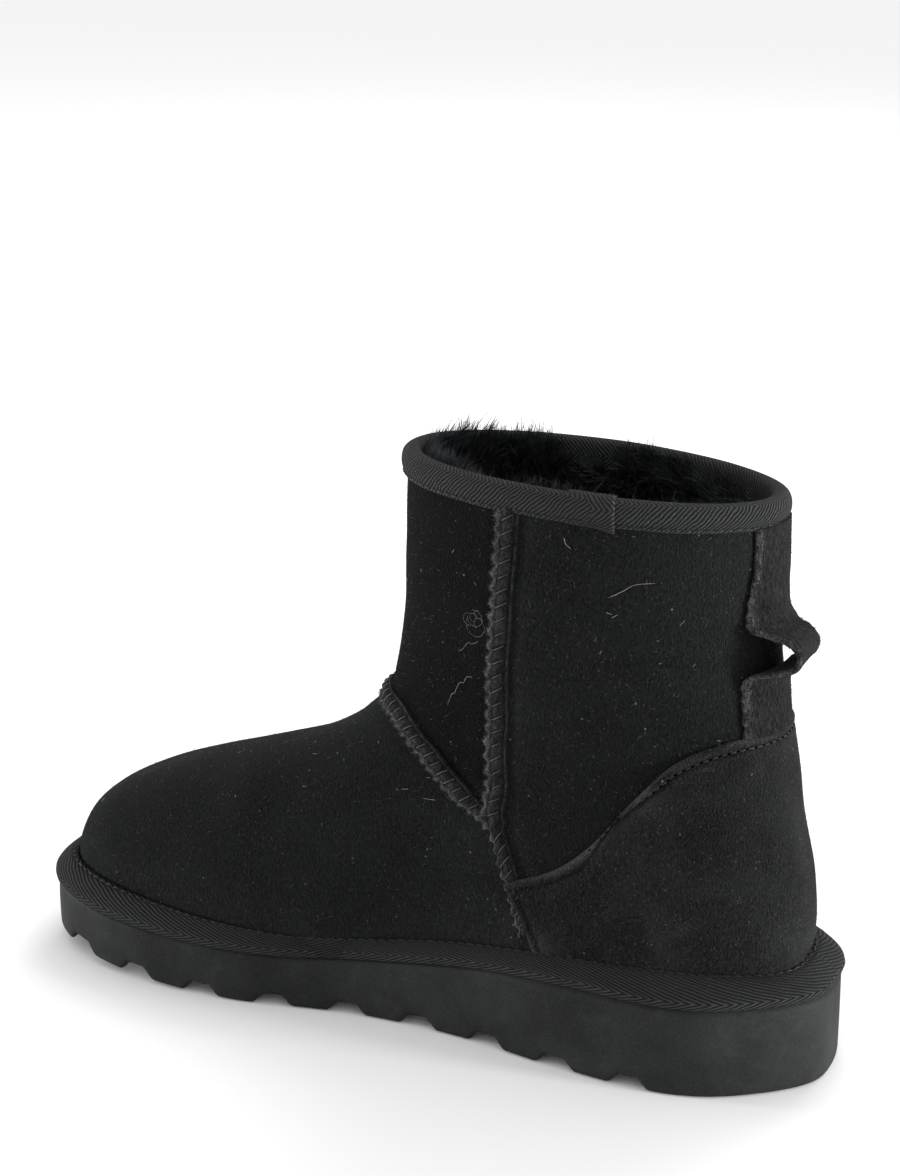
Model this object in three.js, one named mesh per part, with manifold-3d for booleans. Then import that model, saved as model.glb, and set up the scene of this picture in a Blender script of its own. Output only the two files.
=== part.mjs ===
// A right-foot sheepskin ankle boot, standing empty on its sole.
// Millimetres. +X runs from heel to toe, +Y to the inner side of the foot, +Z up.
// Until the last step, x = 0 is the back edge of the sole and y = 0 its middle line.

import * as THREE from 'three';
import { mergeVertices } from 'three/addons/utils/BufferGeometryUtils.js';
import Module from 'manifold-3d';

// ---- Driving dimensions ----

const GAP = 0.3; // air between pieces that meet
const SEAT = 0.4; // air between the sole and what stands on it

const SOLE_LENGTH = 268;
const HEEL_THICKNESS = 28.8;
const FOREFOOT_THICKNESS = 18;
const TOE_SPRING = 5;
const TOE_SPRING_START = 0.68; // share of the length where the toe begins to lift
const SOLE_ROUNDNESS = 0.58; // below 1, the heel and toe ends are fuller than an ellipse
const SOLE_EDGE = 2.2; // rounding along the bottom edge
const SOLE_FLARE = 1.5; // how far the heel's bottom stands out past its top

const LUG_PITCH = 24.5;
const LUG_GROOVES = 9;
const FIRST_GROOVE = 53; // everything behind it is the flat heel block
const GROOVE_DEPTH = 3.6;
const GROOVE_HALF_WIDTH = 7;
const GROOVE_SLOPE = 4.5;

const FUR_WALL = 9; // leather with its deep fur
const COLLAR_WALL = 3; // leather and fur pressed under the binding
const COLLAR_PRESS_TOP = 0.935;
const COLLAR_PRESS_RUN = 0.06;
const COLLAR_TILT = 2; // the inner side of the collar stands this much higher
const LAST_HALF_WIDTH = 39;

const INSOLE_THICKNESS = 6;
const COUNTER_THICKNESS = 1.5;
const BINDING_HEIGHT = 6.5; // of the sole's binding, where it meets the upper
const BINDING_OVERHANG = { heel: 2.2, toe: 1.2 };
const TAPE = 1.2; // collar binding
const TAPE_OUTER_DROP = 5.6;
const TAPE_INNER_DROP = 8;

const LOOP_WIDTH = 21;
const LOOP_THICKNESS = 2.2;

// Resolution
const RING_POINTS = 72;
const UPPER_RINGS = 16; // for the whole height of the upper
const END_CROWDING = 0.4; // draws ring points together at heel and toe

// ---- Tables ----

// Half widths of the sole, each side of the middle line, along its length.
const SOLE = {
  columns: ['along', 'medial', 'lateral'],
  rows: [
    [0.0, 37.0, 38.0],
    [0.12, 48.0, 48.0],
    [0.28, 40.5, 43.0],
    [0.42, 32.5, 41.0],
    [0.56, 32.5, 46.5],
    [0.72, 42.5, 53.5],
    [0.88, 47.5, 54.5],
    [1.0, 47.0, 47.0],
  ],
};

// The upper is a stack of closed rings, from the sole (rise 0) to the collar (rise 1).
// A ring runs from its back point to its front point; low rings are foot-long, high ones
// circle the ankle. Half widths are given at the back and at the front of each side.
const UPPER = {
  columns: [
    'rise', 'backX', 'backZ', 'frontX', 'frontZ',
    'backMedial', 'backLateral', 'frontMedial', 'frontLateral',
    'waistMedial', 'waistLateral', 'backRound', 'frontRound', 'followSole', 'lean',
  ],
  rows: [
    [0.0, 11.5, 29.2, 262.0, 23.0, 35.0, 36.0, 38.0, 48.0, 8, 2, 0.64, 0.6, 1.0, 0.0],
    [0.1, 10.5, 45.5, 261.0, 37.0, 35.5, 36.5, 38.0, 47.5, 8, 2, 0.66, 0.64, 0.8, 0.0],
    [0.2, 11.5, 59.0, 252.5, 50.2, 35.0, 36.0, 34.5, 42.0, 6, 1, 0.7, 0.69, 0.5, -0.5],
    [0.3, 14.0, 71.0, 232.5, 61.5, 34.5, 35.5, 29.0, 36.0, 4, 0, 0.75, 0.75, 0.3, -1.0],
    [0.4, 16.5, 82.0, 205.0, 71.5, 34.5, 35.5, 27.5, 32.0, 2, 0, 0.8, 0.8, 0.1, -1.5],
    [0.5, 18.5, 94.0, 172.0, 84.0, 34.5, 35.5, 28.0, 30.5, 0, 0, 0.84, 0.84, 0.0, -2.5],
    [0.6, 21.5, 108.0, 151.0, 102.0, 35.0, 36.5, 31.5, 32.5, 0, 0, 0.88, 0.88, 0.0, -3.5],
    [0.7, 24.0, 125.2, 145.2, 124.3, 36.0, 37.5, 35.0, 35.0, 0, 0, 0.92, 0.92, 0.0, -4.5],
    [0.85, 26.0, 151.6, 144.4, 154.0, 37.5, 38.5, 37.5, 37.5, 0, 0, 0.96, 0.96, 0.0, -5.5],
    [1.0, 26.5, 176.3, 144.2, 181.0, 38.5, 38.5, 38.5, 38.5, 0, 0, 0.98, 0.98, 0.0, -6.0],
  ],
};

// Top edge of the heel counter, seen from the side.
const COUNTER_TOP = {
  columns: ['x', 'z'],
  rows: [
    [-10, 108.6],
    [26, 108.8],
    [34, 107.6],
    [41, 104.8],
    [48, 100.0],
    [61, 85.2],
    [68, 75.4],
    [77, 66.2],
    [85, 61.0],
    [96, 56.2],
  ],
};
const COUNTER_FRONT_BOTTOM_X = 88.5;
const COUNTER_LIFT = 1.4; // bottom edge, above the inner edge of the sole's binding
const COUNTER_BOTTOM_STEPS = 6;
const COUNTER_RISE = 0.6875; // the two forms reach a little above its top edge

// Middle of the pull loop's strip, from under the collar down to the counter:
// how far it stands off the shaft, and its height.
const LOOP = {
  columns: ['off', 'z'],
  rows: [
    [1.6, 168.4],
    [1.6, 158.0],
    [1.6, 150.0],
    [1.9, 145.4],
    [3.0, 142.2],
    [5.6, 140.2],
    [8.4, 139.2],
    [10.6, 137.4],
    [11.6, 134.9],
    [10.9, 132.4],
    [8.8, 130.8],
    [5.8, 129.7],
    [3.5, 128.0],
    [2.2, 124.6],
    [1.8, 120.5],
    [1.6, 116.0],
    [1.6, 110.4],
  ],
};
const LOOP_MIDDLE_Y = { top: 0.3, bottom: 4 };
const LOOP_COLUMNS = 6;
const LOOP_FREE_OFF = 5; // beyond this distance the strip no longer follows the round shaft

// Sections of the two bindings.
// Sole binding: share of the way from the upper to the outer edge, and height.
const SOLE_BINDING = {
  columns: ['outward', 'height'],
  rows: [
    [0.0, 0.0],
    [0.0, 0.5],
    [0.0, 1.0],
    [0.26, 1.07],
    [0.55, 0.95],
    [0.84, 0.64],
    [1.0, 0.28],
    [0.95, 0.0],
  ],
};

// ---- Small maths ----

const mix = (a, b, t) => a + (b - a) * t;

function smoothStep(t) {
  const u = Math.min(Math.max(t, 0), 1);
  return u * u * (3 - 2 * u);
}

// Reads a table's column at a value of its first column, along a smooth curve.
function readTable(table, value, name) {
  const column = table.columns.indexOf(name);
  const rows = table.rows;
  const last = rows.length - 1;
  let i = 0;
  while (i < last - 1 && value >= rows[i + 1][0]) {
    i += 1;
  }
  const slope = (k) => {
    const before = rows[Math.max(k - 1, 0)];
    const after = rows[Math.min(k + 1, last)];
    return (after[column] - before[column]) / (after[0] - before[0]);
  };
  const step = rows[i + 1][0] - rows[i][0];
  const t = (value - rows[i][0]) / step;
  const a = rows[i][column];
  const b = rows[i + 1][column];
  const bend = (1 - t) * slope(i) * step - t * slope(i + 1) * step;
  const jump = (b - a) * (2 * t - 1);
  return mix(a, b, t) + t * (1 - t) * (bend + jump);
}

// ---- Closed surfaces ----

function surfaceFrom(points, triangles) {
  const geometry = new THREE.BufferGeometry();
  const positions = points.flatMap((p) => [p.x, p.y, p.z]);
  geometry.setAttribute('position', new THREE.Float32BufferAttribute(positions, 3));
  let volume = 0;
  const normal = new THREE.Vector3();
  for (const [a, b, c] of triangles) {
    volume += points[a].dot(normal.crossVectors(points[b], points[c]));
  }
  const outward = volume > 0 ? triangles : triangles.map(([a, b, c]) => [a, c, b]);
  geometry.setIndex(outward.flat());
  return geometry;
}

function quad(a, b, c, d) {
  return [[a, b, c], [a, c, d]];
}

// Joins a row of closed rings, and joins the last ring to the first.
function tube(rings) {
  const count = rings[0].length;
  const triangles = [];
  rings.forEach((_, i) => {
    const here = i * count;
    const next = ((i + 1) % rings.length) * count;
    for (let j = 0; j < count; j += 1) {
      const k = (j + 1) % count;
      triangles.push(...quad(here + j, here + k, next + k, next + j));
    }
  });
  return surfaceFrom(rings.flat(), triangles);
}

// Joins a row of closed sections. Rungs between the two halves of a section close each end.
function loft(sections) {
  const count = sections[0].length;
  const points = sections.flat();
  const triangles = [];
  for (let i = 0; i < sections.length - 1; i += 1) {
    for (let j = 0; j < count; j += 1) {
      const k = (j + 1) % count;
      const here = i * count;
      triangles.push(...quad(here + j, here + k, here + count + k, here + count + j));
    }
  }
  const end = (sections.length - 1) * count;
  for (let j = 0; j < count / 2 - 1; j += 1) {
    const across = count - 1 - j;
    triangles.push(...quad(j, across, across - 1, j + 1));
    triangles.push(...quad(end + j, end + j + 1, end + across - 1, end + across));
  }
  return surfaceFrom(points, triangles);
}

// Closes two rings, one above the other, with rungs from side to side between heel and toe.
function plate(bottom, top) {
  const count = bottom.length;
  const triangles = [];
  for (let j = 0; j < count; j += 1) {
    const k = (j + 1) % count;
    triangles.push(...quad(j, k, count + k, count + j));
  }
  for (let j = 0; j < count / 2; j += 1) {
    const across = (count - j) % count;
    const next = count - j - 1;
    const rungs = [[j, across, j + 1], [across, next, j + 1]];
    const whole = rungs.filter(([a, b, c]) => a !== b && b !== c);
    triangles.push(...whole);
    triangles.push(...whole.map(([a, b, c]) => [count + a, count + c, count + b]));
  }
  return surfaceFrom([...bottom, ...top], triangles);
}

// ---- Sole form ----

function toeSpring(x) {
  const t = (x / SOLE_LENGTH - TOE_SPRING_START) / (1 - TOE_SPRING_START);
  return TOE_SPRING * Math.min(Math.max(t, 0), 1) ** 2;
}

function soleTop(x) {
  const drop = smoothStep((x / SOLE_LENGTH - 0.25) / 0.4);
  return mix(HEEL_THICKNESS, FOREFOOT_THICKNESS, drop) + toeSpring(x);
}

function soleHalfWidth(along, side) {
  const fullness = (2 * Math.sqrt(Math.max(along * (1 - along), 1e-5))) ** SOLE_ROUNDNESS;
  return fullness * readTable(SOLE, along, side);
}

// A point of the sole's outline at a ring angle: 0 at the heel, pi at the toe.
function soleEdge(angle) {
  const along = (1 - Math.cos(angle)) / 2;
  const side = Math.sin(angle) >= 0 ? 'medial' : 'lateral';
  const y = Math.sign(Math.sin(angle)) * soleHalfWidth(along, side);
  return new THREE.Vector3(along * SOLE_LENGTH, y, 0);
}

function grooveHeight(x) {
  const nearest = Math.round((x - FIRST_GROOVE) / LUG_PITCH);
  if (nearest < 0 || nearest >= LUG_GROOVES) {
    return 0;
  }
  const away = Math.abs(x - FIRST_GROOVE - nearest * LUG_PITCH);
  return GROOVE_DEPTH * smoothStep((GROOVE_HALF_WIDTH - away) / GROOVE_SLOPE);
}

// ---- Upper form ----

// A point of the upper's outer form, moved outwards along its normal.
function upperPoint(rise, angle, outward = 0) {
  const surface = formPoint(rise, angle);
  if (outward === 0) {
    return surface;
  }
  const step = 0.004;
  const up = formPoint(rise + step, angle).sub(formPoint(rise - step, angle));
  const round = formPoint(rise, angle + step).sub(formPoint(rise, angle - step));
  const normal = up.cross(round);
  normal.z *= smoothStep(rise / 0.08);
  normal.normalize();
  const moved = surface.clone().addScaledVector(normal, outward);
  const nearSole = 1 - smoothStep(rise / 0.1);
  moved.z += (soleTop(moved.x) - soleTop(surface.x)) * nearSole;
  return moved;
}

function formPoint(rise, angle) {
  const read = (name) => readTable(UPPER, rise, name);
  const sine = Math.sin(angle);
  const along = (1 - Math.cos(angle)) / 2;
  const side = sine >= 0 ? 'Medial' : 'Lateral';
  const round = mix(read('backRound'), read('frontRound'), smoothStep((along - 0.25) / 0.5));
  const width = mix(read('back' + side), read('front' + side), smoothStep((along - 0.2) / 0.5));
  const waist = read('waist' + side) * Math.exp(-(((along - 0.46) / 0.15) ** 2));
  const half = (Math.abs(sine) + 1e-9) ** round * (width - waist);
  const x = mix(read('backX'), read('frontX'), along);
  const offMiddle = Math.sign(sine) * half;
  const soleDrop = mix(soleTop(read('backX')), soleTop(read('frontX')), along);
  const follow = read('followSole') * (soleTop(x) - soleDrop);
  const tilt = COLLAR_TILT * smoothStep((rise - 0.6) / 0.4) * offMiddle / LAST_HALF_WIDTH;
  const z = mix(read('backZ'), read('frontZ'), along) + follow + tilt;
  return new THREE.Vector3(x, offMiddle + read('lean'), z);
}

function wallAt(rise) {
  return mix(COLLAR_WALL, FUR_WALL, smoothStep((COLLAR_PRESS_TOP - rise) / COLLAR_PRESS_RUN));
}

function ringAngles() {
  return Array.from({ length: RING_POINTS }, (_, j) => {
    const turn = (2 * Math.PI * j) / RING_POINTS;
    return turn - (END_CROWDING * Math.sin(2 * turn)) / 2;
  });
}

const ANGLES = ringAngles();
const ring = (pointAt) => ANGLES.map(pointAt);

function ringRises(to) {
  const count = Math.round(to * UPPER_RINGS);
  return Array.from({ length: count + 1 }, (_, i) => (to * i) / count);
}

// ---- Pieces ----

function outsole() {
  const ends = [0, 0.12, 0.5, 1.2];
  const steps = Math.round(SOLE_LENGTH / (LUG_PITCH / 9));
  const middle = Array.from({ length: steps - 1 }, (_, i) => (SOLE_LENGTH * (i + 1)) / steps);
  const stations = [...ends, ...middle, ...ends.map((x) => SOLE_LENGTH - x).reverse()];
  return loft(stations.map((x) => {
    const along = x / SOLE_LENGTH;
    const medial = soleHalfWidth(along, 'medial');
    const lateral = soleHalfWidth(along, 'lateral');
    const bottom = toeSpring(x) + grooveHeight(x);
    const top = soleTop(x);
    const edge = Math.min(SOLE_EDGE, medial / 2);
    const flare = Math.min(SOLE_FLARE * (1 - along), medial / 3);
    const point = (y, z) => new THREE.Vector3(x, y, z);
    return [
      point(-lateral + edge, bottom),
      point(0, bottom),
      point(medial - edge, bottom),
      point(medial, bottom + edge),
      point(medial - flare, top),
      point(0, top),
      point(flare - lateral, top),
      point(-lateral, bottom + edge),
    ];
  }));
}

function upper() {
  const pressStart = COLLAR_PRESS_TOP - COLLAR_PRESS_RUN;
  const pressed = [COLLAR_PRESS_TOP, (COLLAR_PRESS_TOP + 1) / 2, 1];
  const rises = [...ringRises(pressStart), ...pressed];
  const outer = rises.map((rise) => ring((angle) => upperPoint(rise, angle)));
  const inner = rises.map((rise) => ring((angle) => upperPoint(rise, angle, -wallAt(rise))));
  return tube([...outer, ...inner.reverse()]);
}

function insole() {
  const clear = -(FUR_WALL + GAP + 0.3);
  const risePerMillimetre = 0.1 / 15;
  const bottom = ANGLES.map((angle) => upperPoint(0, angle, clear));
  const top = ANGLES.map((angle) => {
    const point = upperPoint(INSOLE_THICKNESS * risePerMillimetre, angle, clear);
    point.z = soleTop(point.x) + SEAT + INSOLE_THICKNESS;
    return point;
  });
  bottom.forEach((point) => {
    point.z = soleTop(point.x) + SEAT;
  });
  return plate(bottom, top);
}

function soleBinding() {
  const risePerMillimetre = 0.1 / 15;
  const sections = SOLE_BINDING.rows.map(([outward, height]) => ring((angle) => {
    const lift = height * BINDING_HEIGHT;
    const inner = upperPoint(lift * risePerMillimetre, angle, GAP);
    const along = (1 - Math.cos(angle)) / 2;
    const overhang = mix(BINDING_OVERHANG.heel, BINDING_OVERHANG.toe, along);
    const flare = SOLE_FLARE * (1 - along);
    const edge = soleEdge(angle);
    const across = edge.clone().sub(new THREE.Vector3(inner.x, inner.y, 0)).setZ(0);
    const reach = across.length() + overhang - flare;
    const point = inner.clone().addScaledVector(across.normalize(), outward * reach);
    point.z = soleTop(point.x) + SEAT + lift;
    return point;
  }));
  return tube(sections);
}

function collarBinding() {
  const risePerMillimetre = 0.15 / 24.7;
  const inside = -(COLLAR_WALL + GAP);
  // Each row is how far the point lies below the rim, and how far outwards.
  const section = [
    [TAPE_OUTER_DROP, GAP],
    [TAPE_OUTER_DROP, GAP + TAPE],
    [0.5, GAP + TAPE],
    [-1.2, GAP],
    [-1.8, -COLLAR_WALL / 2],
    [-1.2, inside],
    [0.5, inside - TAPE],
    [TAPE_INNER_DROP, inside - TAPE],
    [TAPE_INNER_DROP, inside],
    [-GAP - 0.1, inside],
    [-GAP - 0.1, GAP],
  ];
  return tube(section.map(([drop, outward]) => ring((angle) => {
    const height = Math.max(-drop, 0);
    const point = upperPoint(1 - Math.max(drop, 0) * risePerMillimetre, angle, outward);
    point.z += height;
    return point;
  })));
}

// The strip of the pull loop follows the round back of the shaft where it lies on it,
// and runs straight across where it stands off.
function pullLoop() {
  const backSurface = (y, z) => {
    let rise = 0.6;
    let angle = 0;
    for (let i = 0; i < 30; i += 1) {
      const point = formPoint(rise, angle);
      rise += (z - point.z) * 0.004;
      angle += (y - point.y) * 0.006;
    }
    return formPoint(rise, angle).x;
  };
  const rows = LOOP.rows;
  const last = rows.length - 1;
  const inner = [];
  const outer = [];
  rows.forEach(([off, z], i) => {
    const before = rows[Math.max(i - 1, 0)];
    const after = rows[Math.min(i + 1, last)];
    const run = new THREE.Vector2(after[0] - before[0], after[1] - before[1]).normalize();
    const free = smoothStep(off / LOOP_FREE_OFF - 0.4);
    const middle = mix(LOOP_MIDDLE_Y.top, LOOP_MIDDLE_Y.bottom, i / last);
    const middleX = backSurface(middle, z);
    const face = (side) => Array.from({ length: LOOP_COLUMNS + 1 }, (_, k) => {
      const y = middle + LOOP_WIDTH * (k / LOOP_COLUMNS - 0.5);
      const back = mix(backSurface(y, z), middleX, free);
      const half = (side * LOOP_THICKNESS) / 2;
      return new THREE.Vector3(back - off + half * run.y, y, z + half * run.x);
    });
    inner.push(face(-1));
    outer.push(face(1));
  });
  return loft(rows.map((_, i) => [...inner[i], ...outer[i].reverse()]));
}

// ---- Heel counter, cut between two larger copies of the upper's form ----

const wasm = await Module();
wasm.setup();

function solidOf(geometry) {
  const merged = geometry.clone();
  merged.deleteAttribute('normal');
  merged.deleteAttribute('uv');
  const clean = mergeVertices(merged, 1e-4);
  return new wasm.Manifold(new wasm.Mesh({
    numProp: 3,
    vertProperties: new Float32Array(clean.attributes.position.array),
    triVerts: new Uint32Array(clean.index.array),
  }));
}

function geometryOf(solid) {
  const mesh = solid.getMesh();
  const geometry = new THREE.BufferGeometry();
  geometry.setAttribute('position', new THREE.BufferAttribute(mesh.vertProperties, 3));
  geometry.setIndex(new THREE.BufferAttribute(mesh.triVerts, 1));
  return geometry;
}

function heelCounter() {
  const rises = ringRises(COUNTER_RISE);
  const at = (outward) => rises.map((rise) => ring((angle) => upperPoint(rise, angle, outward)));
  const shell = tube([...at(GAP + COUNTER_THICKNESS), ...at(GAP).reverse()]);
  const bottom = (x) => soleTop(x) + BINDING_HEIGHT + COUNTER_LIFT;
  const outline = new THREE.Shape();
  const top = COUNTER_TOP.rows.map(([x, z]) => new THREE.Vector2(x, z));
  outline.moveTo(top[0].x, top[0].y);
  outline.splineThru(top.slice(1));
  for (let i = 0; i <= COUNTER_BOTTOM_STEPS; i += 1) {
    const x = mix(COUNTER_FRONT_BOTTOM_X, top[0].x, i / COUNTER_BOTTOM_STEPS);
    outline.lineTo(x, bottom(x));
  }
  const wide = 2 * LAST_HALF_WIDTH + 40;
  const profile = new THREE.ExtrudeGeometry(outline, {
    depth: wide,
    bevelEnabled: false,
    curveSegments: 3,
  });
  profile.rotateX(Math.PI / 2);
  profile.translate(0, wide / 2, 0);
  return geometryOf(solidOf(shell).intersect(solidOf(profile)));
}

// ---- Assembly ----

const FINISHES = {
  suede: { color: 0x1f2020, roughness: 0.95, metalness: 0 },
  foam: { color: 0x2f3030, roughness: 0.8, metalness: 0 },
  tape: { color: 0x272828, roughness: 0.9, metalness: 0 },
  fur: { color: 0x0c0d0e, roughness: 1, metalness: 0 },
};

const boot = new THREE.Group();

function add(name, geometry, finish) {
  const mesh = new THREE.Mesh(geometry, new THREE.MeshStandardMaterial(FINISHES[finish]));
  mesh.name = name;
  boot.add(mesh);
}

add('outsole', outsole(), 'foam');
add('insole', insole(), 'fur');
add('upper', upper(), 'suede');
add('sole_binding', soleBinding(), 'tape');
add('heel_counter', heelCounter(), 'suede');
add('collar_binding', collarBinding(), 'tape');
add('pull_loop', pullLoop(), 'suede');

// The origin is the middle of the ground that the boot covers.
const bounds = new THREE.Box3().setFromObject(boot);
const middle = bounds.getCenter(new THREE.Vector3());
boot.position.set(-middle.x, -middle.y, -bounds.min.z);

export default boot;
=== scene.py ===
"""A right-foot sheepskin ankle boot: suede, fleece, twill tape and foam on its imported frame."""

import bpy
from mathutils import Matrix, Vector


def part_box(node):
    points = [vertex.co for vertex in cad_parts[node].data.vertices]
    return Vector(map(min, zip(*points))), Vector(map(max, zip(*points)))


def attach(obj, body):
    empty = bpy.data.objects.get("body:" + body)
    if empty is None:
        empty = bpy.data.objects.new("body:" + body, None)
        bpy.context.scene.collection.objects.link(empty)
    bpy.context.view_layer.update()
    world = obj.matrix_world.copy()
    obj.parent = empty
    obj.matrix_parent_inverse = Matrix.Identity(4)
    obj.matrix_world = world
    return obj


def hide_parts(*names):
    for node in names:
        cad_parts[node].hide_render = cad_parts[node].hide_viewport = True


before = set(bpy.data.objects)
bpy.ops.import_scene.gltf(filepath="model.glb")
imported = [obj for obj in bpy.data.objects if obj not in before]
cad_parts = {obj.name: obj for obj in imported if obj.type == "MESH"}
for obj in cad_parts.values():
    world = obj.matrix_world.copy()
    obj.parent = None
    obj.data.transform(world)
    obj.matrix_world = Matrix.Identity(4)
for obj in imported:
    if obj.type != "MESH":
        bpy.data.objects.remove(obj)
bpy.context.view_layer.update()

import math

import bpy
import numpy as np
from bpy.props import FloatProperty, FloatVectorProperty, IntProperty, PointerProperty
from mathutils import Matrix, Vector

bl_info = {
    "name": "Sheepskin ankle boot",
    "version": (1, 0, 0),
    "blender": (4, 5, 0),
    "location": "3D View > Sidebar > Boot",
    "description": "Builds the finished surfaces of a sheepskin ankle boot",
    "category": "Add Mesh",
}

MM = 0.001
BODY = "root"

# ---------------------------------------------------------------------------
# The boot's form, in millimetres. x = 0 is the sole's back edge, y = 0 its middle line.
# ---------------------------------------------------------------------------

SOLE_BOX = [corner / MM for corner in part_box("outsole")]
SOLE_LENGTH = SOLE_BOX[1].x - SOLE_BOX[0].x
HEEL_THICKNESS = SOLE_BOX[1].z
FOREFOOT_THICKNESS = 18.0
TOE_SPRING = 5.0
TOE_SPRING_START = 0.68
SOLE_ROUNDNESS = 0.58
SOLE_EDGE = 2.2
SOLE_FLARE = 1.5
SOLE_BULGE = 0.35

LUG_PITCH = 24.5
LUG_GROOVES = 9
FIRST_GROOVE = 53.0
GROOVE_DEPTH = 3.6
GROOVE_HALF_WIDTH = 7.0
GROOVE_SLOPE = 4.5

COLLAR_TILT = 2.0
LAST_HALF_WIDTH = 39.0
GAP = 0.3
SEAT = 0.4
BINDING_HEIGHT = 6.5
END_CROWDING = 0.4

SOLE = {
    "columns": ("along", "medial", "lateral"),
    "rows": np.array([
        (0.00, 37.0, 38.0),
        (0.12, 48.0, 48.0),
        (0.28, 40.5, 43.0),
        (0.42, 32.5, 41.0),
        (0.56, 32.5, 46.5),
        (0.72, 42.5, 53.5),
        (0.88, 47.5, 54.5),
        (1.00, 47.0, 47.0),
    ]),
}

# Closed rings from the sole (rise 0) to the collar (rise 1), each from its back to its front.
UPPER = {
    "columns": (
        "rise", "back_x", "back_z", "front_x", "front_z",
        "back_medial", "back_lateral", "front_medial", "front_lateral",
        "waist_medial", "waist_lateral", "back_round", "front_round", "follow_sole", "lean",
    ),
    "rows": np.array([
        (0.00, 11.5, 29.2, 262.0, 23.0, 35.0, 36.0, 38.0, 48.0, 8, 2, 0.64, 0.60, 1.0, 0.0),
        (0.10, 10.5, 45.5, 261.0, 37.0, 35.5, 36.5, 38.0, 47.5, 8, 2, 0.66, 0.64, 0.8, 0.0),
        (0.20, 11.5, 59.0, 252.5, 50.2, 35.0, 36.0, 34.5, 42.0, 6, 1, 0.70, 0.69, 0.5, -0.5),
        (0.30, 14.0, 71.0, 232.5, 61.5, 34.5, 35.5, 29.0, 36.0, 4, 0, 0.75, 0.75, 0.3, -1.0),
        (0.40, 16.5, 82.0, 205.0, 71.5, 34.5, 35.5, 27.5, 32.0, 2, 0, 0.80, 0.80, 0.1, -1.5),
        (0.50, 18.5, 94.0, 172.0, 84.0, 34.5, 35.5, 28.0, 30.5, 0, 0, 0.84, 0.84, 0.0, -2.5),
        (0.60, 21.5, 108.0, 151.0, 102.0, 35.0, 36.5, 31.5, 32.5, 0, 0, 0.88, 0.88, 0.0, -3.5),
        (0.70, 24.0, 125.2, 145.2, 124.3, 36.0, 37.5, 35.0, 35.0, 0, 0, 0.92, 0.92, 0.0, -4.5),
        (0.85, 26.0, 151.6, 144.4, 154.0, 37.5, 38.5, 37.5, 37.5, 0, 0, 0.96, 0.96, 0.0, -5.5),
        (1.00, 26.5, 176.3, 144.2, 181.0, 38.5, 38.5, 38.5, 38.5, 0, 0, 0.98, 0.98, 0.0, -6.0),
    ]),
}
UPPER_RIM = 0.998  # rise of the suede's cut edge, inside the folded tape
RISE_PER_MM_LOW = 0.1 / 15  # near the sole and over the counter
RISE_PER_MM_COLLAR = 0.15 / 24.7

# Seams on each side of the boot. The angle is from the heel (0) to the toe (180).
SIDE_SEAM = {
    "columns": ("rise", "angle"),
    "rows": np.array([
        (0.00, 66.0), (0.12, 69.7), (0.20, 72.4), (0.31, 78.6), (0.44, 88.8),
        (0.58, 102.8), (0.68, 106.0), (0.78, 105.0), (0.93, 102.6), (1.00, 102.2),
    ]),
}
SIDE_SEAM_ENDS = (0.345, 0.968)
LOW_SEAM_ENDS = (0.075, 0.352)
VAMP_SEAM = {
    "columns": ("angle", "rise"),
    "rows": np.array([
        (82.0, 0.352), (91.0, 0.412), (106.7, 0.483), (123.4, 0.541),
        (141.3, 0.584), (160.0, 0.600), (180.0, 0.604),
    ]),
}
COUNTER_TOP = {
    "columns": ("x", "z"),
    "rows": np.array([
        (-10, 108.6), (26, 108.8), (34, 107.6), (41, 104.8), (48, 100.0), (61, 85.2),
        (68, 75.4), (77, 66.2), (85, 61.0), (96, 56.2),
    ]),
}
COUNTER_FRONT = (66.8, 73.6)  # angle of the front edge, at the bottom and at the top
COUNTER_LIFT = 1.4
COUNTER_TUCK = 1.6
SEAM_DIP = 0.7

# Soft creases of each side: middle, half length, half width and depth in millimetres, slope
# in degrees, and the side (1 inner, -1 outer).
CREASES = {
    "columns": ("x", "z", "half_length", "half_width", "depth", "slope", "side"),
    "rows": np.array([
        (46, 134, 20, 2.6, 0.9, 4, 1),
        (58, 129, 16, 3.5, -0.5, 6, 1),
        (64, 98, 20, 4.5, 0.9, -9, 1),
        (78, 108, 17, 5.5, -0.6, -16, 1),
        (84, 88, 16, 4.0, 0.7, -24, 1),
        (128, 108, 14, 4.0, 0.9, -14, 1),
        (133, 118, 13, 5.0, -0.7, -8, 1),
        (126, 92, 12, 3.5, 0.8, -32, 1),
        (142, 74, 20, 6.0, 0.6, -22, 1),
        (182, 60, 18, 7.0, 0.6, -62, 1),
        (214, 50, 15, 8.0, 0.5, -70, 1),
        (50, 131, 22, 3.0, 1.0, -3, -1),
        (62, 122, 18, 4.0, -0.6, 2, -1),
        (70, 96, 20, 4.5, 1.0, -12, -1),
        (92, 102, 16, 5.0, -0.6, -18, -1),
        (128, 106, 14, 4.0, 1.0, -14, -1),
        (150, 76, 20, 6.0, 0.7, -22, -1),
        (196, 58, 18, 7.0, 0.7, -64, -1),
    ]),
}

PULL_LOOP = {
    "columns": ("off", "z"),
    "rows": np.array([
        (1.2, 171.5), (1.5, 158.0), (1.5, 150.0), (1.9, 145.4), (3.0, 142.2), (5.6, 140.2),
        (8.4, 139.2), (10.6, 137.4), (11.6, 134.9), (10.9, 132.4), (8.8, 130.8), (5.8, 129.7),
        (3.5, 128.0), (2.2, 124.6), (1.7, 120.5), (1.5, 116.0), (1.3, 108.8),
    ]),
}
PULL_LOOP_MIDDLE = (0.3, 4.0)
LOOP_DRIFT, LOOP_DRIFT_START, LOOP_DRIFT_RUN = 2.2, 147, 12  # towards the outer side, going up


def mix(a, b, t):
    return a + (b - a) * t


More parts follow.
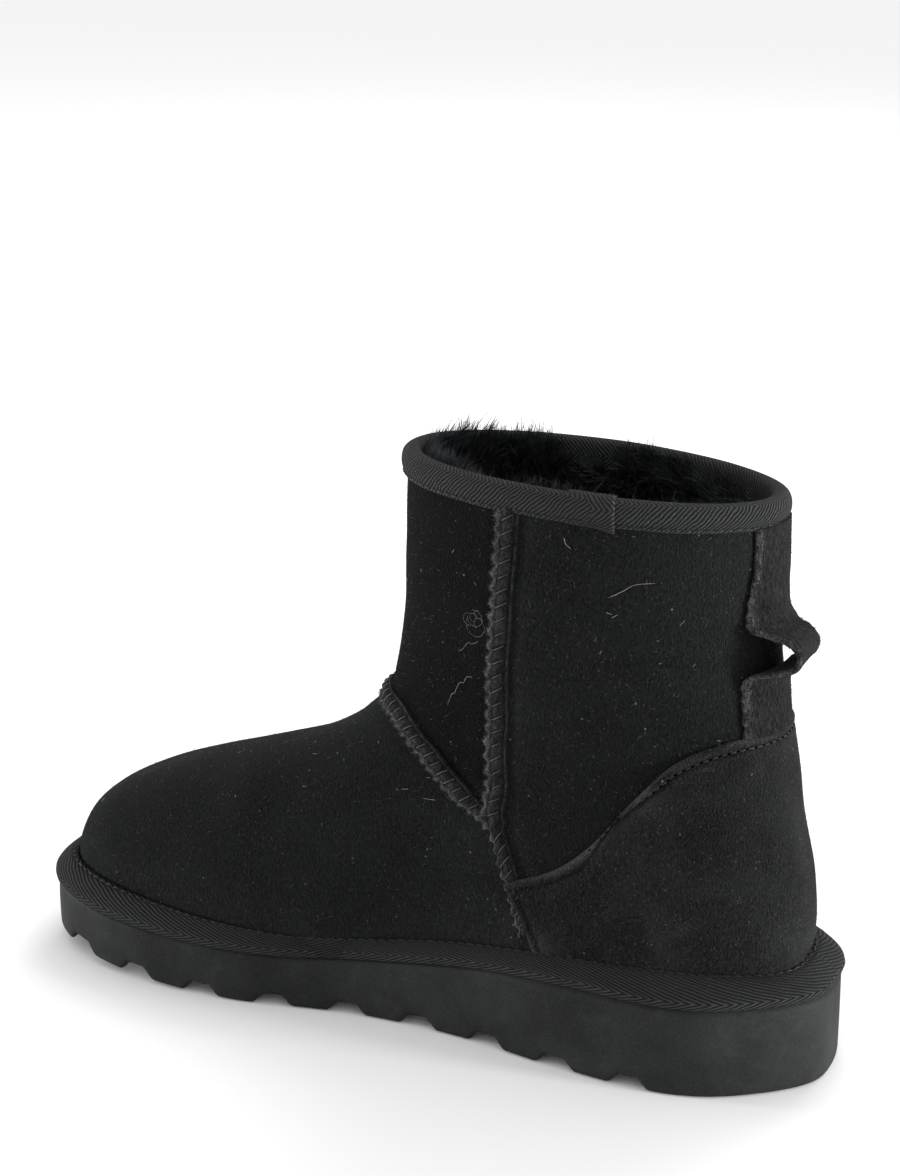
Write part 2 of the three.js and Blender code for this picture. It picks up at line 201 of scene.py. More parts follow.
def smooth_step(t):
    u = np.clip(t, 0.0, 1.0)
    return u * u * (3 - 2 * u)


def read_table(table, value, name):
    """A table's column at values of its first column, along a smooth curve."""
    rows = table["rows"]
    at, column = rows[:, 0], rows[:, table["columns"].index(name)]
    slope = np.empty(len(at))
    slope[1:-1] = (column[2:] - column[:-2]) / (at[2:] - at[:-2])
    slope[0] = (column[1] - column[0]) / (at[1] - at[0])
    slope[-1] = (column[-1] - column[-2]) / (at[-1] - at[-2])
    value = np.asarray(value, float)
    i = np.clip(np.searchsorted(at, value, side="right") - 1, 0, len(at) - 2)
    step = at[i + 1] - at[i]
    t = (value - at[i]) / step
    bend = (1 - t) * slope[i] * step - t * slope[i + 1] * step
    jump = (column[i + 1] - column[i]) * (2 * t - 1)
    return mix(column[i], column[i + 1], t) + t * (1 - t) * (bend + jump)


def toe_spring(x):
    t = (x / SOLE_LENGTH - TOE_SPRING_START) / (1 - TOE_SPRING_START)
    return TOE_SPRING * np.clip(t, 0, 1) ** 2


def sole_top(x):
    drop = smooth_step((x / SOLE_LENGTH - 0.25) / 0.4)
    return mix(HEEL_THICKNESS, FOREFOOT_THICKNESS, drop) + toe_spring(x)


def sole_half_width(along, side):
    fullness = (2 * np.sqrt(np.maximum(along * (1 - along), 1e-7))) ** SOLE_ROUNDNESS
    return fullness * read_table(SOLE, along, side)


def groove_height(x):
    nearest = np.round((x - FIRST_GROOVE) / LUG_PITCH)
    inside = (nearest >= 0) & (nearest < LUG_GROOVES)
    away = np.abs(x - FIRST_GROOVE - nearest * LUG_PITCH)
    return np.where(inside, GROOVE_DEPTH * smooth_step((GROOVE_HALF_WIDTH - away) / GROOVE_SLOPE), 0)


def form_point(rise, angle):
    """The upper's plain outer form, angles in radians."""
    rise, angle = np.broadcast_arrays(np.asarray(rise, float), np.asarray(angle, float))
    read = {name: read_table(UPPER, rise, name) for name in UPPER["columns"][1:]}
    sine = np.sin(angle)
    along = (1 - np.cos(angle)) / 2
    medial = sine >= 0

    def sided(name):
        return np.where(medial, read[name + "_medial"], read[name + "_lateral"])

    roundness = mix(read["back_round"], read["front_round"], smooth_step((along - 0.25) / 0.5))
    width = mix(sided("back"), sided("front"), smooth_step((along - 0.2) / 0.5))
    waist = sided("waist") * np.exp(-(((along - 0.46) / 0.15) ** 2))
    half = (np.abs(sine) + 1e-9) ** roundness * (width - waist)
    x = mix(read["back_x"], read["front_x"], along)
    off_middle = np.sign(sine) * half
    sole_line = mix(sole_top(read["back_x"]), sole_top(read["front_x"]), along)
    follow = read["follow_sole"] * (sole_top(x) - sole_line)
    tilt = COLLAR_TILT * smooth_step((rise - 0.6) / 0.4) * off_middle / LAST_HALF_WIDTH
    z = mix(read["back_z"], read["front_z"], along) + follow + tilt
    return np.stack([x, off_middle + read["lean"], z], -1)


def unit(vectors):
    return vectors / np.maximum(np.linalg.norm(vectors, axis=-1, keepdims=True), 1e-12)


def form_frame(rise, angle):
    """Surface point, its two tangents per unit of rise and angle, and its outward normal."""
    step = 0.004
    up = (form_point(rise + step, angle) - form_point(rise - step, angle)) / (2 * step)
    around = (form_point(rise, angle + step) - form_point(rise, angle - step)) / (2 * step)
    normal = np.cross(up, around)
    normal[..., 2] *= smooth_step(np.asarray(rise, float) / 0.08)
    return form_point(rise, angle), up, around, unit(normal)


def relief(point):
    """Creases and the slight unevenness of soft leather, as a height in millimetres."""
    x, y, z = point[..., 0], point[..., 1], point[..., 2]
    height = np.zeros(x.shape)
    for row_x, row_z, half_length, half_width, depth, slope, side in CREASES["rows"]:
        turn = math.radians(slope)
        dx, dz = x - row_x, z - row_z
        run = dx * math.cos(turn) + dz * math.sin(turn)
        bow = 0.012 * run**2 / half_length * 10
        off = dz * math.cos(turn) - dx * math.sin(turn) + bow
        on_side = smooth_step(side * (y + 3) / 12)
        height -= depth * on_side * np.exp(-((run / half_length) ** 2) - (off / half_width) ** 2)
    height += 0.22 * np.sin(x / 13 + 1.3) * np.sin(z / 17 + y / 23)
    height += 0.13 * np.sin(x / 6.1 - z / 7.7 + 0.4) * np.sin(y / 9 + z / 5.3 + 2)
    return height


def seam_pull(surface_frame, rise, angle):
    """The panels dip beside the seams, where the stitches draw them in."""
    _, up, around, _ = surface_frame
    rise, angle = np.broadcast_arrays(rise, angle)
    turned = np.degrees(np.arccos(np.cos(angle)))
    off_side = np.radians(turned - read_table(SIDE_SEAM, rise, "angle"))
    off_side = np.abs(off_side) * np.linalg.norm(around, axis=-1)
    dip = np.exp(-(((off_side - 3.9) / 2.0) ** 2)) * smooth_step((rise - 0.1) / 0.05)
    vamp_rise = read_table(VAMP_SEAM, np.clip(turned, 82, 180), "rise")
    off_vamp = np.abs(rise - vamp_rise) * np.linalg.norm(up, axis=-1) * 0.8
    ahead = smooth_step((turned - 80) / 6)
    dip = np.maximum(dip, ahead * np.exp(-(((off_vamp - 3.6) / 2.0) ** 2)))
    return -SEAM_DIP * dip


def skin_point(rise, angle, outward=0.0, uneven=1.0, pulled=False):
    """The upper's finished surface, moved outwards."""
    whole = form_frame(rise, angle)
    surface, _, _, normal = whole
    height = np.broadcast_to(np.asarray(outward, float), surface.shape[:-1]).copy()
    height += uneven * smooth_step(np.asarray(rise, float) / 0.12) * relief(surface)
    if pulled:
        height += seam_pull(whole, rise, angle)
    moved = surface + normal * height[..., None]
    near_sole = 1 - smooth_step(np.asarray(rise, float) / 0.1)
    moved[..., 2] += (sole_top(moved[..., 0]) - sole_top(surface[..., 0])) * near_sole
    return moved


def sole_edge(angle):
    along = (1 - np.cos(angle)) / 2
    half = np.where(
        np.sin(angle) >= 0,
        sole_half_width(along, "medial"),
        sole_half_width(along, "lateral"),
    )
    return np.stack([along * SOLE_LENGTH, np.sign(np.sin(angle)) * half], -1)


def ring_angles(count):
    turn = np.linspace(0, 2 * np.pi, count, endpoint=False)
    return turn - END_CROWDING * np.sin(2 * turn) / 2


_along = np.linspace(0, 1, 400)
FRAME_SHIFT = np.array([
    SOLE_BOX[0].x,
    SOLE_BOX[1].y - float(np.max(sole_half_width(_along, "medial"))),
    SOLE_BOX[0].z,
])


def to_frame(points):
    return (np.asarray(points, float) + FRAME_SHIFT) * MM


# ---------------------------------------------------------------------------
# Meshes
# ---------------------------------------------------------------------------


def flat_list(array):
    return np.ascontiguousarray(array, dtype=np.float32).ravel()


def link_piece(name, mesh, material, smooth=True):
    if material is not None:
        mesh.materials.clear()
        mesh.materials.append(material)
    mesh.polygons.foreach_set("use_smooth", [smooth] * len(mesh.polygons))
    mesh.update()
    piece = bpy.data.objects.new(name, mesh)
    bpy.context.scene.collection.objects.link(piece)
    return piece


def paint(mesh, label, data):
    """Stores one number or one vector for each point of a mesh."""
    data = np.asarray(data, float)
    vector = data.ndim > 1 and data.shape[-1] == 3
    attribute = mesh.attributes.new(label, "FLOAT_VECTOR" if vector else "FLOAT", "POINT")
    attribute.data.foreach_set("vector" if vector else "value", flat_list(data))


def mesh_from(name, points, faces, corner_uv=None, values=None):
    """A mesh from millimetre points. A closed mesh that is inside out is turned round."""
    points = np.asarray(points, float).reshape(-1, 3)
    faces = np.asarray(faces, int)
    a, b, c = points[faces[:, 0]], points[faces[:, 1]], points[faces[:, 2]]
    volume = np.einsum("ij,ij->", a, np.cross(b, c))
    if faces.shape[1] == 4:
        d = points[faces[:, 3]]
        volume += np.einsum("ij,ij->", a, np.cross(c, d))
    if volume < 0:
        faces = faces[:, ::-1]
        corner_uv = None if corner_uv is None else corner_uv[:, ::-1]
    mesh = bpy.data.meshes.new(name)
    mesh.from_pydata(to_frame(points).tolist(), [], faces.tolist())
    if corner_uv is not None:
        layer = mesh.uv_layers.new(name="Cloth")
        layer.data.foreach_set("uv", flat_list(corner_uv))
    for label, data in (values or {}).items():
        paint(mesh, label, data)
    return mesh


def closed_grid(name, points, ends, uv=None, values=None):
    """Rows of closed sections. ends is "ring" to join last to first, or "cap" to close both."""
    rows, columns = points.shape[:2]
    spans = rows if ends == "ring" else rows - 1
    i, j = np.meshgrid(np.arange(spans), np.arange(columns), indexing="ij")
    i, j = i.ravel(), j.ravel()
    corners = ((0, 0), (0, 1), (1, 1), (1, 0))
    faces = np.stack([(i + di) % rows * columns + (j + dj) % columns for di, dj in corners], -1)
    corner_uv = None
    if uv is not None:
        corner_uv = np.stack([uv[i + di, j + dj] for di, dj in corners], 1)
    if ends == "cap":
        k = np.arange(columns // 2 - 1)
        across = columns - 1 - k
        last = (rows - 1) * columns
        start = np.stack([k, across, across - 1, k + 1], -1)
        stop = np.stack([last + k, last + k + 1, last + across - 1, last + across], -1)
        faces = np.vstack([faces, start, stop])
        if corner_uv is not None:
            start_uv = np.stack([uv[0, s] for s in start.T], 1)
            stop_uv = np.stack([uv[rows - 1, s - last] for s in stop.T], 1)
            corner_uv = np.concatenate([corner_uv, start_uv, stop_uv])
    flat_values = {k: np.asarray(v).reshape(rows * columns, *np.asarray(v).shape[2:])
                   for k, v in (values or {}).items()}
    return mesh_from(name, points.reshape(-1, 3), faces, corner_uv, flat_values)


def run_length(points):
    """Distance walked along the first axis of a row of points."""
    step = np.linalg.norm(np.diff(points, axis=0), axis=-1)
    return np.concatenate([np.zeros((1,) + step.shape[1:]), np.cumsum(step, axis=0)])


def cloth_uv(along, across):
    """Millimetres along and across a strip, at each point of its grid."""
    return np.stack(np.broadcast_arrays(along[:, None], across[None, :]), -1)


def smooth_loop(rows, count):
    """A closed outline through a few points, as many evenly spaced ones."""
    rows = np.asarray(rows, float)
    size = len(rows)
    fine = []
    for i in range(size):
        p0, p1, p2, p3 = (rows[(i + k) % size] for k in (-1, 0, 1, 2))
        for t in np.linspace(0, 1, 16, endpoint=False):
            fine.append(
                0.5 * (2 * p1 + (p2 - p0) * t + (2 * p0 - 5 * p1 + 4 * p2 - p3) * t * t
                       + (3 * p1 - p0 - 3 * p2 + p3) * t**3)
            )
    fine = np.array(fine + [fine[0]])
    walked = run_length(fine)
    even = np.linspace(0, walked[-1], count, endpoint=False)
    return np.stack([np.interp(even, walked, fine[:, k]) for k in (0, 1)], -1), even


# ---------------------------------------------------------------------------
# Shader nodes
# ---------------------------------------------------------------------------


def socket(node, name, side="inputs"):
    return next(s for s in getattr(node, side) if s.name == name and s.enabled)


def feed(tree, target, value):
    """Links a socket to another one, or gives it a plain value."""
    if isinstance(value, bpy.types.NodeSocket):
        tree.links.new(value, target)
    else:
        target.default_value = value


def add_node(tree, kind, values=None, **settings):
    node = tree.nodes.new(kind)
    for key, value in settings.items():
        setattr(node, key, value)
    for key, value in (values or {}).items():
        feed(tree, node.inputs[key] if isinstance(key, int) else socket(node, key), value)
    return node


def calc(tree, operation, a, b=0.0, c=None, clamp=False):
    node = tree.nodes.new("ShaderNodeMath")
    node.operation = operation
    node.use_clamp = clamp
    for index, value in enumerate((a, b) if c is None else (a, b, c)):
        feed(tree, node.inputs[index], value)
    return node.outputs[0]


def remap(tree, value, low, high, new_low=0.0, new_high=1.0):
    return add_node(tree, "ShaderNodeMapRange", {
        "Value": value, "From Min": low, "From Max": high, "To Min": new_low, "To Max": new_high,
    }, interpolation_type="SMOOTHSTEP").outputs[0]


def noise(tree, vector, scale, detail=2.0, roughness=0.5, distortion=0.0, output="Fac"):
    return add_node(tree, "ShaderNodeTexNoise", {
        "Vector": vector, "Scale": scale, "Detail": detail, "Roughness": roughness,
        "Distortion": distortion,
    }).outputs[output]


def object_place(tree):
    return add_node(tree, "ShaderNodeTexCoord").outputs["Object"]


def blend_colour(tree, factor, a, b):
    node = add_node(tree, "ShaderNodeMix", {"Factor": factor, "A": a, "B": b}, data_type="RGBA")
    return socket(node, "Result", "outputs")


def shader_group(name, inputs, outputs):
    """A new shader group with its input and output nodes."""
    tree = bpy.data.node_groups.new(name, "ShaderNodeTree")
    for label, kind, default in inputs:
        item = tree.interface.new_socket(name=label, in_out="INPUT", socket_type=kind)
        if default is not None:
            item.default_value = default
    for label, kind in outputs:
        tree.interface.new_socket(name=label, in_out="OUTPUT", socket_type=kind)
    return tree, tree.nodes.new("NodeGroupInput").outputs, tree.nodes.new("NodeGroupOutput").inputs


FLOAT, VECTOR, COLOUR = "NodeSocketFloat", "NodeSocketVector", "NodeSocketColor"


def nap_group():
    """Brushed nap: short fibres lying over each other, and broad patches brushed both ways."""
    tree, given, made = shader_group(
        "brushed nap",
        [("Vector", VECTOR, None), ("Fibre Scale", FLOAT, 900.0), ("Patch Scale", FLOAT, 45.0),
         ("Patch Depth", FLOAT, 0.13)],
        [("Tone", FLOAT), ("Height", FLOAT)],
    )
    turned = add_node(tree, "ShaderNodeMapping", {
        "Vector": given["Vector"], "Rotation": (0.3, 0.2, 0.5), "Scale": (1.0, 1.0, 0.5),
    })
    fibre = noise(tree, turned.outputs[0], given["Fibre Scale"], 3.0, 0.62, 0.35)
    grit = noise(tree, given["Vector"], calc(tree, "MULTIPLY", given["Fibre Scale"], 2.3), 1.0)
    patch = noise(tree, given["Vector"], given["Patch Scale"], distortion=0.6)
    fine = remap(tree, fibre, 0.32, 0.7, -1.0, 1.0)
    coarse = remap(tree, grit, 0.3, 0.7, -1.0, 1.0)
    broad = remap(tree, patch, 0.3, 0.7, -1.0, 1.0)
    tone = calc(tree, "MULTIPLY", fine, 0.42)
    tone = calc(tree, "MULTIPLY_ADD", coarse, 0.34, tone)
    tone = calc(tree, "MULTIPLY_ADD", broad, given["Patch Depth"], tone)
    tree.links.new(calc(tree, "ADD", tone, 1.0), made["Tone"])
    height = calc(tree, "MULTIPLY_ADD", coarse, 0.35, fine)
    tree.links.new(height, made["Height"])
    return tree


def lint_group():
    """Sparse pale specks of lint."""
    tree, given, made = shader_group(
        "lint specks",
        [("Vector", VECTOR, None), ("Scale", FLOAT, 330.0), ("Share", FLOAT, 0.12)],
        [("Mask", FLOAT)],
    )
    bent = noise(tree, given["Vector"], 700.0, 1.0, output="Color")
    shaken = vector_calc(tree, "SCALE", bent, scale=0.0012)
    moved = vector_calc(tree, "ADD", given["Vector"], shaken)
    cells = add_node(tree, "ShaderNodeTexVoronoi", {
        "Vector": moved, "Scale": given["Scale"], "Randomness": 1.0,
    }, feature="F1")
    split = add_node(tree, "ShaderNodeSeparateColor", {"Color": cells.outputs["Color"]})
    chosen = calc(tree, "LESS_THAN", split.outputs[0], given["Share"])
    size = calc(tree, "MULTIPLY_ADD", split.outputs[1], 0.09, 0.03)
    near = calc(tree, "LESS_THAN", cells.outputs["Distance"], size)
    tree.links.new(calc(tree, "MULTIPLY", chosen, near), made["Mask"])
    return tree


def twill_group():
    """Herringbone twill along a tape. The UV runs in millimetres along and across it."""
    tree, given, made = shader_group(
        "herringbone twill",
        [("UV", VECTOR, None), ("Rib Pitch", FLOAT, 1.15), ("Band Width", FLOAT, 6.6),
         ("Slope", FLOAT, 1.0)],
        [("Height", FLOAT), ("Tone", FLOAT)],
    )
    wander = noise(tree, given["UV"], 0.16)
    wobble = calc(tree, "MULTIPLY", calc(tree, "SUBTRACT", wander, 0.5), 2.6)
    split = add_node(tree, "ShaderNodeSeparateXYZ", {"Vector": given["UV"]})
    fold = calc(tree, "PINGPONG", split.outputs[1], given["Band Width"])
    slanted = calc(tree, "MULTIPLY", fold, given["Slope"])
    walk = calc(tree, "ADD", calc(tree, "ADD", split.outputs[0], slanted), wobble)
    phase = calc(tree, "DIVIDE", walk, given["Rib Pitch"])
    rib = calc(tree, "SINE", calc(tree, "MULTIPLY", phase, 2 * math.pi))
    crossing = calc(tree, "SUBTRACT", split.outputs[0], slanted)
    thread_phase = calc(tree, "MULTIPLY", calc(tree, "DIVIDE", crossing, given["Rib Pitch"]), 2.0)
    thread = calc(tree, "SINE", calc(tree, "MULTIPLY", thread_phase, 2 * math.pi))
    yarn = remap(tree, noise(tree, given["UV"], 2.3, roughness=0.6), 0.3, 0.7, -1.0, 1.0)
    height = calc(tree, "MULTIPLY_ADD", thread, 0.28, rib)
    height = calc(tree, "MULTIPLY_ADD", yarn, 0.3, height)
    tree.links.new(height, made["Height"])
    tone = calc(tree, "MULTIPLY_ADD", rib, 0.72, 1.0)
    tone = calc(tree, "MULTIPLY_ADD", thread, 0.14, tone)
    tone = calc(tree, "MULTIPLY_ADD", yarn, 0.24, tone)
    tone = calc(tree, "MAXIMUM", tone, 0.12)
    tree.links.new(tone, made["Tone"])
    return tree


def wear_group():
    """Where a painted edge mask and patchy noise agree, the surface is rubbed pale."""
    tree, given, made = shader_group(
        "rubbed edges",
        [("Vector", VECTOR, None), ("Edge", FLOAT, 0.0), ("Scale", FLOAT, 120.0)],
        [("Mask", FLOAT)],
    )
    patch = noise(tree, given["Vector"], given["Scale"], 4.0, 0.7)
    spread = remap(tree, patch, 0.3, 0.66, 0.25, 1.25)
    tree.links.new(calc(tree, "MULTIPLY", given["Edge"], spread, clamp=True), made["Mask"])
    return tree


GROUP_MAKERS = {
    "brushed nap": nap_group,
    "lint specks": lint_group,
    "herringbone twill": twill_group,
    "rubbed edges": wear_group,
}


def place_group(tree, name, values):
    group = bpy.data.node_groups.get(name) or GROUP_MAKERS[name]()
    node = tree.nodes.new("ShaderNodeGroup")
    node.node_tree = group
    for key, value in values.items():
        feed(tree, node.inputs[key], value)
    return node


def new_material(name, **plain):
    """A material with one Principled BSDF, whose plain values are set on its own sockets."""
    material = bpy.data.materials.new(name)
    material.use_nodes = True
    tree = material.node_tree
    shader = tree.nodes["Principled BSDF"]
    for key, value in plain.items():
        shader.inputs[key.replace("_", " ")].default_value = value
    return material, tree, shader


SHEEN_TINT = (0.5, 0.51, 0.51, 1.0)
LINT_SPECK = (0.085, 0.088, 0.085, 1.0)


def shade(colour, share):
    return [share * channel for channel in colour[:3]]


def scaled_colour(tree, colour, tone):
    """A colour made lighter or darker by a changing tone."""
    return add_node(tree, "ShaderNodeVectorMath", {
        0: tuple(colour[:3]), "Scale": tone,
    }, operation="SCALE").outputs[0]


def bump(tree, shader, height, distance, strength=1.0):
    node = add_node(tree, "ShaderNodeBump", {
        "Height": height, "Distance": distance, "Strength": strength,
    })
    tree.links.new(node.outputs[0], shader.inputs["Normal"])


def finish_colour(tree, shader, body, rubbed, wear_scale, lint):
    """Lays rubbed edges and specks of lint over the body colour."""
    place = object_place(tree)
    edge = add_node(tree, "ShaderNodeAttribute", attribute_name="worn").outputs["Fac"]
    wear = place_group(tree, "rubbed edges", {"Vector": place, "Edge": edge, "Scale": wear_scale})
    specks = place_group(tree, "lint specks", {"Vector": place, "Share": lint})
    worn = blend_colour(tree, wear.outputs["Mask"], body, rubbed)
    flecked = blend_colour(tree, specks.outputs["Mask"], worn, LINT_SPECK)
    tree.links.new(flecked, shader.inputs["Base Color"])


def suede_material(name, colour, pale, fibre_scale, patch_scale, lint, nap_depth,
                   wear_scale=120.0, patch_depth=0.14, painted_shade=False):
    material, tree, shader = new_material(
        name, Roughness=0.95, Sheen_Weight=0.04, Sheen_Roughness=0.5,
        Sheen_Tint=SHEEN_TINT, Specular_IOR_Level=0.03,
    )
    nap = place_group(tree, "brushed nap", {
        "Vector": object_place(tree), "Fibre Scale": fibre_scale, "Patch Scale": patch_scale,
        "Patch Depth": patch_depth,
    })
    tone = nap.outputs["Tone"]
    # Painted shade: the nap's tone is scaled by each panel's painted shade.
    if painted_shade:
        panel = add_node(tree, "ShaderNodeAttribute", attribute_name="panel").outputs["Fac"]
        tone = calc(tree, "MULTIPLY", tone, panel)
    body = scaled_colour(tree, colour, tone)
    rubbed = scaled_colour(tree, pale, nap.outputs["Tone"])
    finish_colour(tree, shader, body, rubbed, wear_scale, lint)
    bump(tree, shader, nap.outputs["Height"], nap_depth)
    return material


def tape_material(name, colour, rib_pitch, band_width, slope):
    material, tree, shader = new_material(
        name, Roughness=0.8, Sheen_Weight=0.03, Sheen_Roughness=0.4,
        Sheen_Tint=SHEEN_TINT, Specular_IOR_Level=0.06,
    )
    uv = add_node(tree, "ShaderNodeUVMap", uv_map="Cloth").outputs[0]
    weave = place_group(tree, "herringbone twill", {
        "UV": uv, "Rib Pitch": rib_pitch, "Band Width": band_width, "Slope": slope,
    })
    body = scaled_colour(tree, colour, weave.outputs["Tone"])
    rubbed = scaled_colour(tree, shade(colour, 2.2), weave.outputs["Tone"])
    finish_colour(tree, shader, body, rubbed, 300.0, 0.05)
    bump(tree, shader, weave.outputs["Height"], 0.00045)
    return material


def foam_material(name, colour):
    material, tree, shader = new_material(name, Roughness=0.62, Specular_IOR_Level=0.08)
    place = object_place(tree)
    cloud = noise(tree, place, 34.0, 5.0, 0.62)
    grain = noise(tree, place, 2400.0, 3.0, 0.7)
    pores = add_node(tree, "ShaderNodeTexVoronoi", {
        "Vector": place, "Scale": 620.0, "Randomness": 1.0,
    }, feature="F1")
    dust = noise(tree, place, 140.0, 6.0, 0.72, 0.8)
    tone = calc(tree, "MULTIPLY_ADD", remap(tree, cloud, 0.3, 0.7, -1.0, 1.0), 0.24, 1.0)
    tone = calc(tree, "MULTIPLY_ADD", remap(tree, grain, 0.3, 0.7, -1.0, 1.0), 0.34, tone)
    dusty = remap(tree, dust, 0.48, 0.78, 0.0, 0.6)
    body = scaled_colour(tree, colour, tone)
    pale = scaled_colour(tree, shade(colour, 1.8), tone)
    tree.links.new(blend_colour(tree, dusty, body, pale), shader.inputs["Base Color"])
    pitted = remap(tree, pores.outputs["Distance"], 0.0, 0.32, -1.0, 0.0)
    height = calc(tree, "MULTIPLY_ADD", grain, 0.8, pitted)
    bump(tree, shader, height, 0.00002)
    rough = calc(tree, "MULTIPLY_ADD", dusty, 0.3, 0.6)
    tree.links.new(rough, shader.inputs["Roughness"])
    return material


def fleece_material(name, colour):
    material, tree, shader = new_material(name, Roughness=0.6, Specular_IOR_Level=0.08)
    place = object_place(tree)
    tone = remap(tree, noise(tree, place, 160.0, 3.0, 0.6), 0.3, 0.7, 0.55, 1.7)
    tree.links.new(scaled_colour(tree, colour, tone), shader.inputs["Base Color"])
    bump(tree, shader, noise(tree, place, 900.0, roughness=0.6), 0.0004)
    return material


def thread_material(name, colour, gloss=0.35):
    material, tree, shader = new_material(name, Roughness=0.55, Specular_IOR_Level=gloss)
    ply = noise(tree, object_place(tree), 2200.0, roughness=0.6)
    tone = remap(tree, ply, 0.3, 0.7, 0.6, 1.5)
    tree.links.new(scaled_colour(tree, colour, tone), shader.inputs["Base Color"])
    bump(tree, shader, ply, 0.00008)
    return material


# ---------------------------------------------------------------------------
# Geometry Nodes
# ---------------------------------------------------------------------------

GEOMETRY, MATERIAL, WHOLE = "NodeSocketGeometry", "NodeSocketMaterial", "NodeSocketInt"


def node_tree(name, inputs):
    tree = bpy.data.node_groups.new(name, "GeometryNodeTree")
    tree.is_modifier = True
    tree.interface.new_socket(name="Geometry", in_out="INPUT", socket_type=GEOMETRY)
    for label, kind, default in inputs:
        item = tree.interface.new_socket(name=label, in_out="INPUT", socket_type=kind)
        if default is not None:
            item.default_value = default
    tree.interface.new_socket(name="Geometry", in_out="OUTPUT", socket_type=GEOMETRY)
    return tree, tree.nodes.new("NodeGroupInput").outputs, tree.nodes.new("NodeGroupOutput").inputs


def painted(tree, name, kind="FLOAT_VECTOR"):
    """A value that a mesh carries on its points."""
    node = add_node(tree, "GeometryNodeInputNamedAttribute", {"Name": name}, data_type=kind)
    return socket(node, "Attribute", "outputs")


def random_between(tree, low, high, seed):
    node = add_node(tree, "FunctionNodeRandomValue", {"Min": low, "Max": high, "Seed": seed},
                    data_type="FLOAT")
    return socket(node, "Value", "outputs")


def vector_of(tree, x=0.0, y=0.0, z=0.0):
    return add_node(tree, "ShaderNodeCombineXYZ", {"X": x, "Y": y, "Z": z}).outputs[0]


def vector_calc(tree, operation, a, b=None, scale=None):
    values = {0: a}
    if b is not None:
        values[1] = b
    if scale is not None:
        values["Scale"] = scale
    return add_node(tree, "ShaderNodeVectorMath", values, operation=operation).outputs[0]


def aligned(tree, x_towards, z_towards):
    first = add_node(tree, "FunctionNodeAlignRotationToVector", {"Vector": z_towards}, axis="Z")
    second = add_node(tree, "FunctionNodeAlignRotationToVector", {
        "Rotation": first.outputs[0], "Vector": x_towards,
    }, axis="X", pivot_axis="Z")
    return second.outputs[0]


def finish_tree(tree, made, instances, material):
    solid = add_node(tree, "GeometryNodeRealizeInstances", {"Geometry": instances}).outputs[0]
    dressed = add_node(tree, "GeometryNodeSetMaterial", {"Geometry": solid, "Material": material})
    tree.links.new(dressed.outputs[0], made["Geometry"])


def stitch_tree():
    """One bowed thread on each point, along its "aim" and standing on its "outward"."""
    tree, given, made = node_tree("stitches", [
        ("Length", FLOAT, 0.004), ("Thickness", FLOAT, 0.0005), ("Rise", FLOAT, 0.0006),
        ("Seed", WHOLE, 1), ("Material", MATERIAL, None),
    ])
    half = calc(tree, "MULTIPLY", given["Length"], 0.5)
    back = calc(tree, "MULTIPLY", half, -1.0)
    top = calc(tree, "MULTIPLY", given["Rise"], 2.0)
    path = add_node(tree, "GeometryNodeCurveQuadraticBezier", {
        "Resolution": 7, "Start": vector_of(tree, back), "Middle": vector_of(tree, 0.0, 0.0, top),
        "End": vector_of(tree, half),
    })
    section = add_node(tree, "GeometryNodeCurvePrimitiveCircle", {
        "Resolution": 6, "Radius": calc(tree, "MULTIPLY", given["Thickness"], 0.5),
    })
    thread = add_node(tree, "GeometryNodeCurveToMesh", {
        "Curve": path.outputs[0], "Profile Curve": section.outputs[0], "Fill Caps": True,
    })
    size = random_between(tree, 0.86, 1.12, given["Seed"])
    copies = add_node(tree, "GeometryNodeInstanceOnPoints", {
        "Points": given["Geometry"], "Instance": thread.outputs[0],
        "Rotation": aligned(tree, painted(tree, "aim"), painted(tree, "outward")),
        "Scale": vector_of(tree, size, size, size),
    })
    finish_tree(tree, made, copies.outputs[0], given["Material"])
    return tree


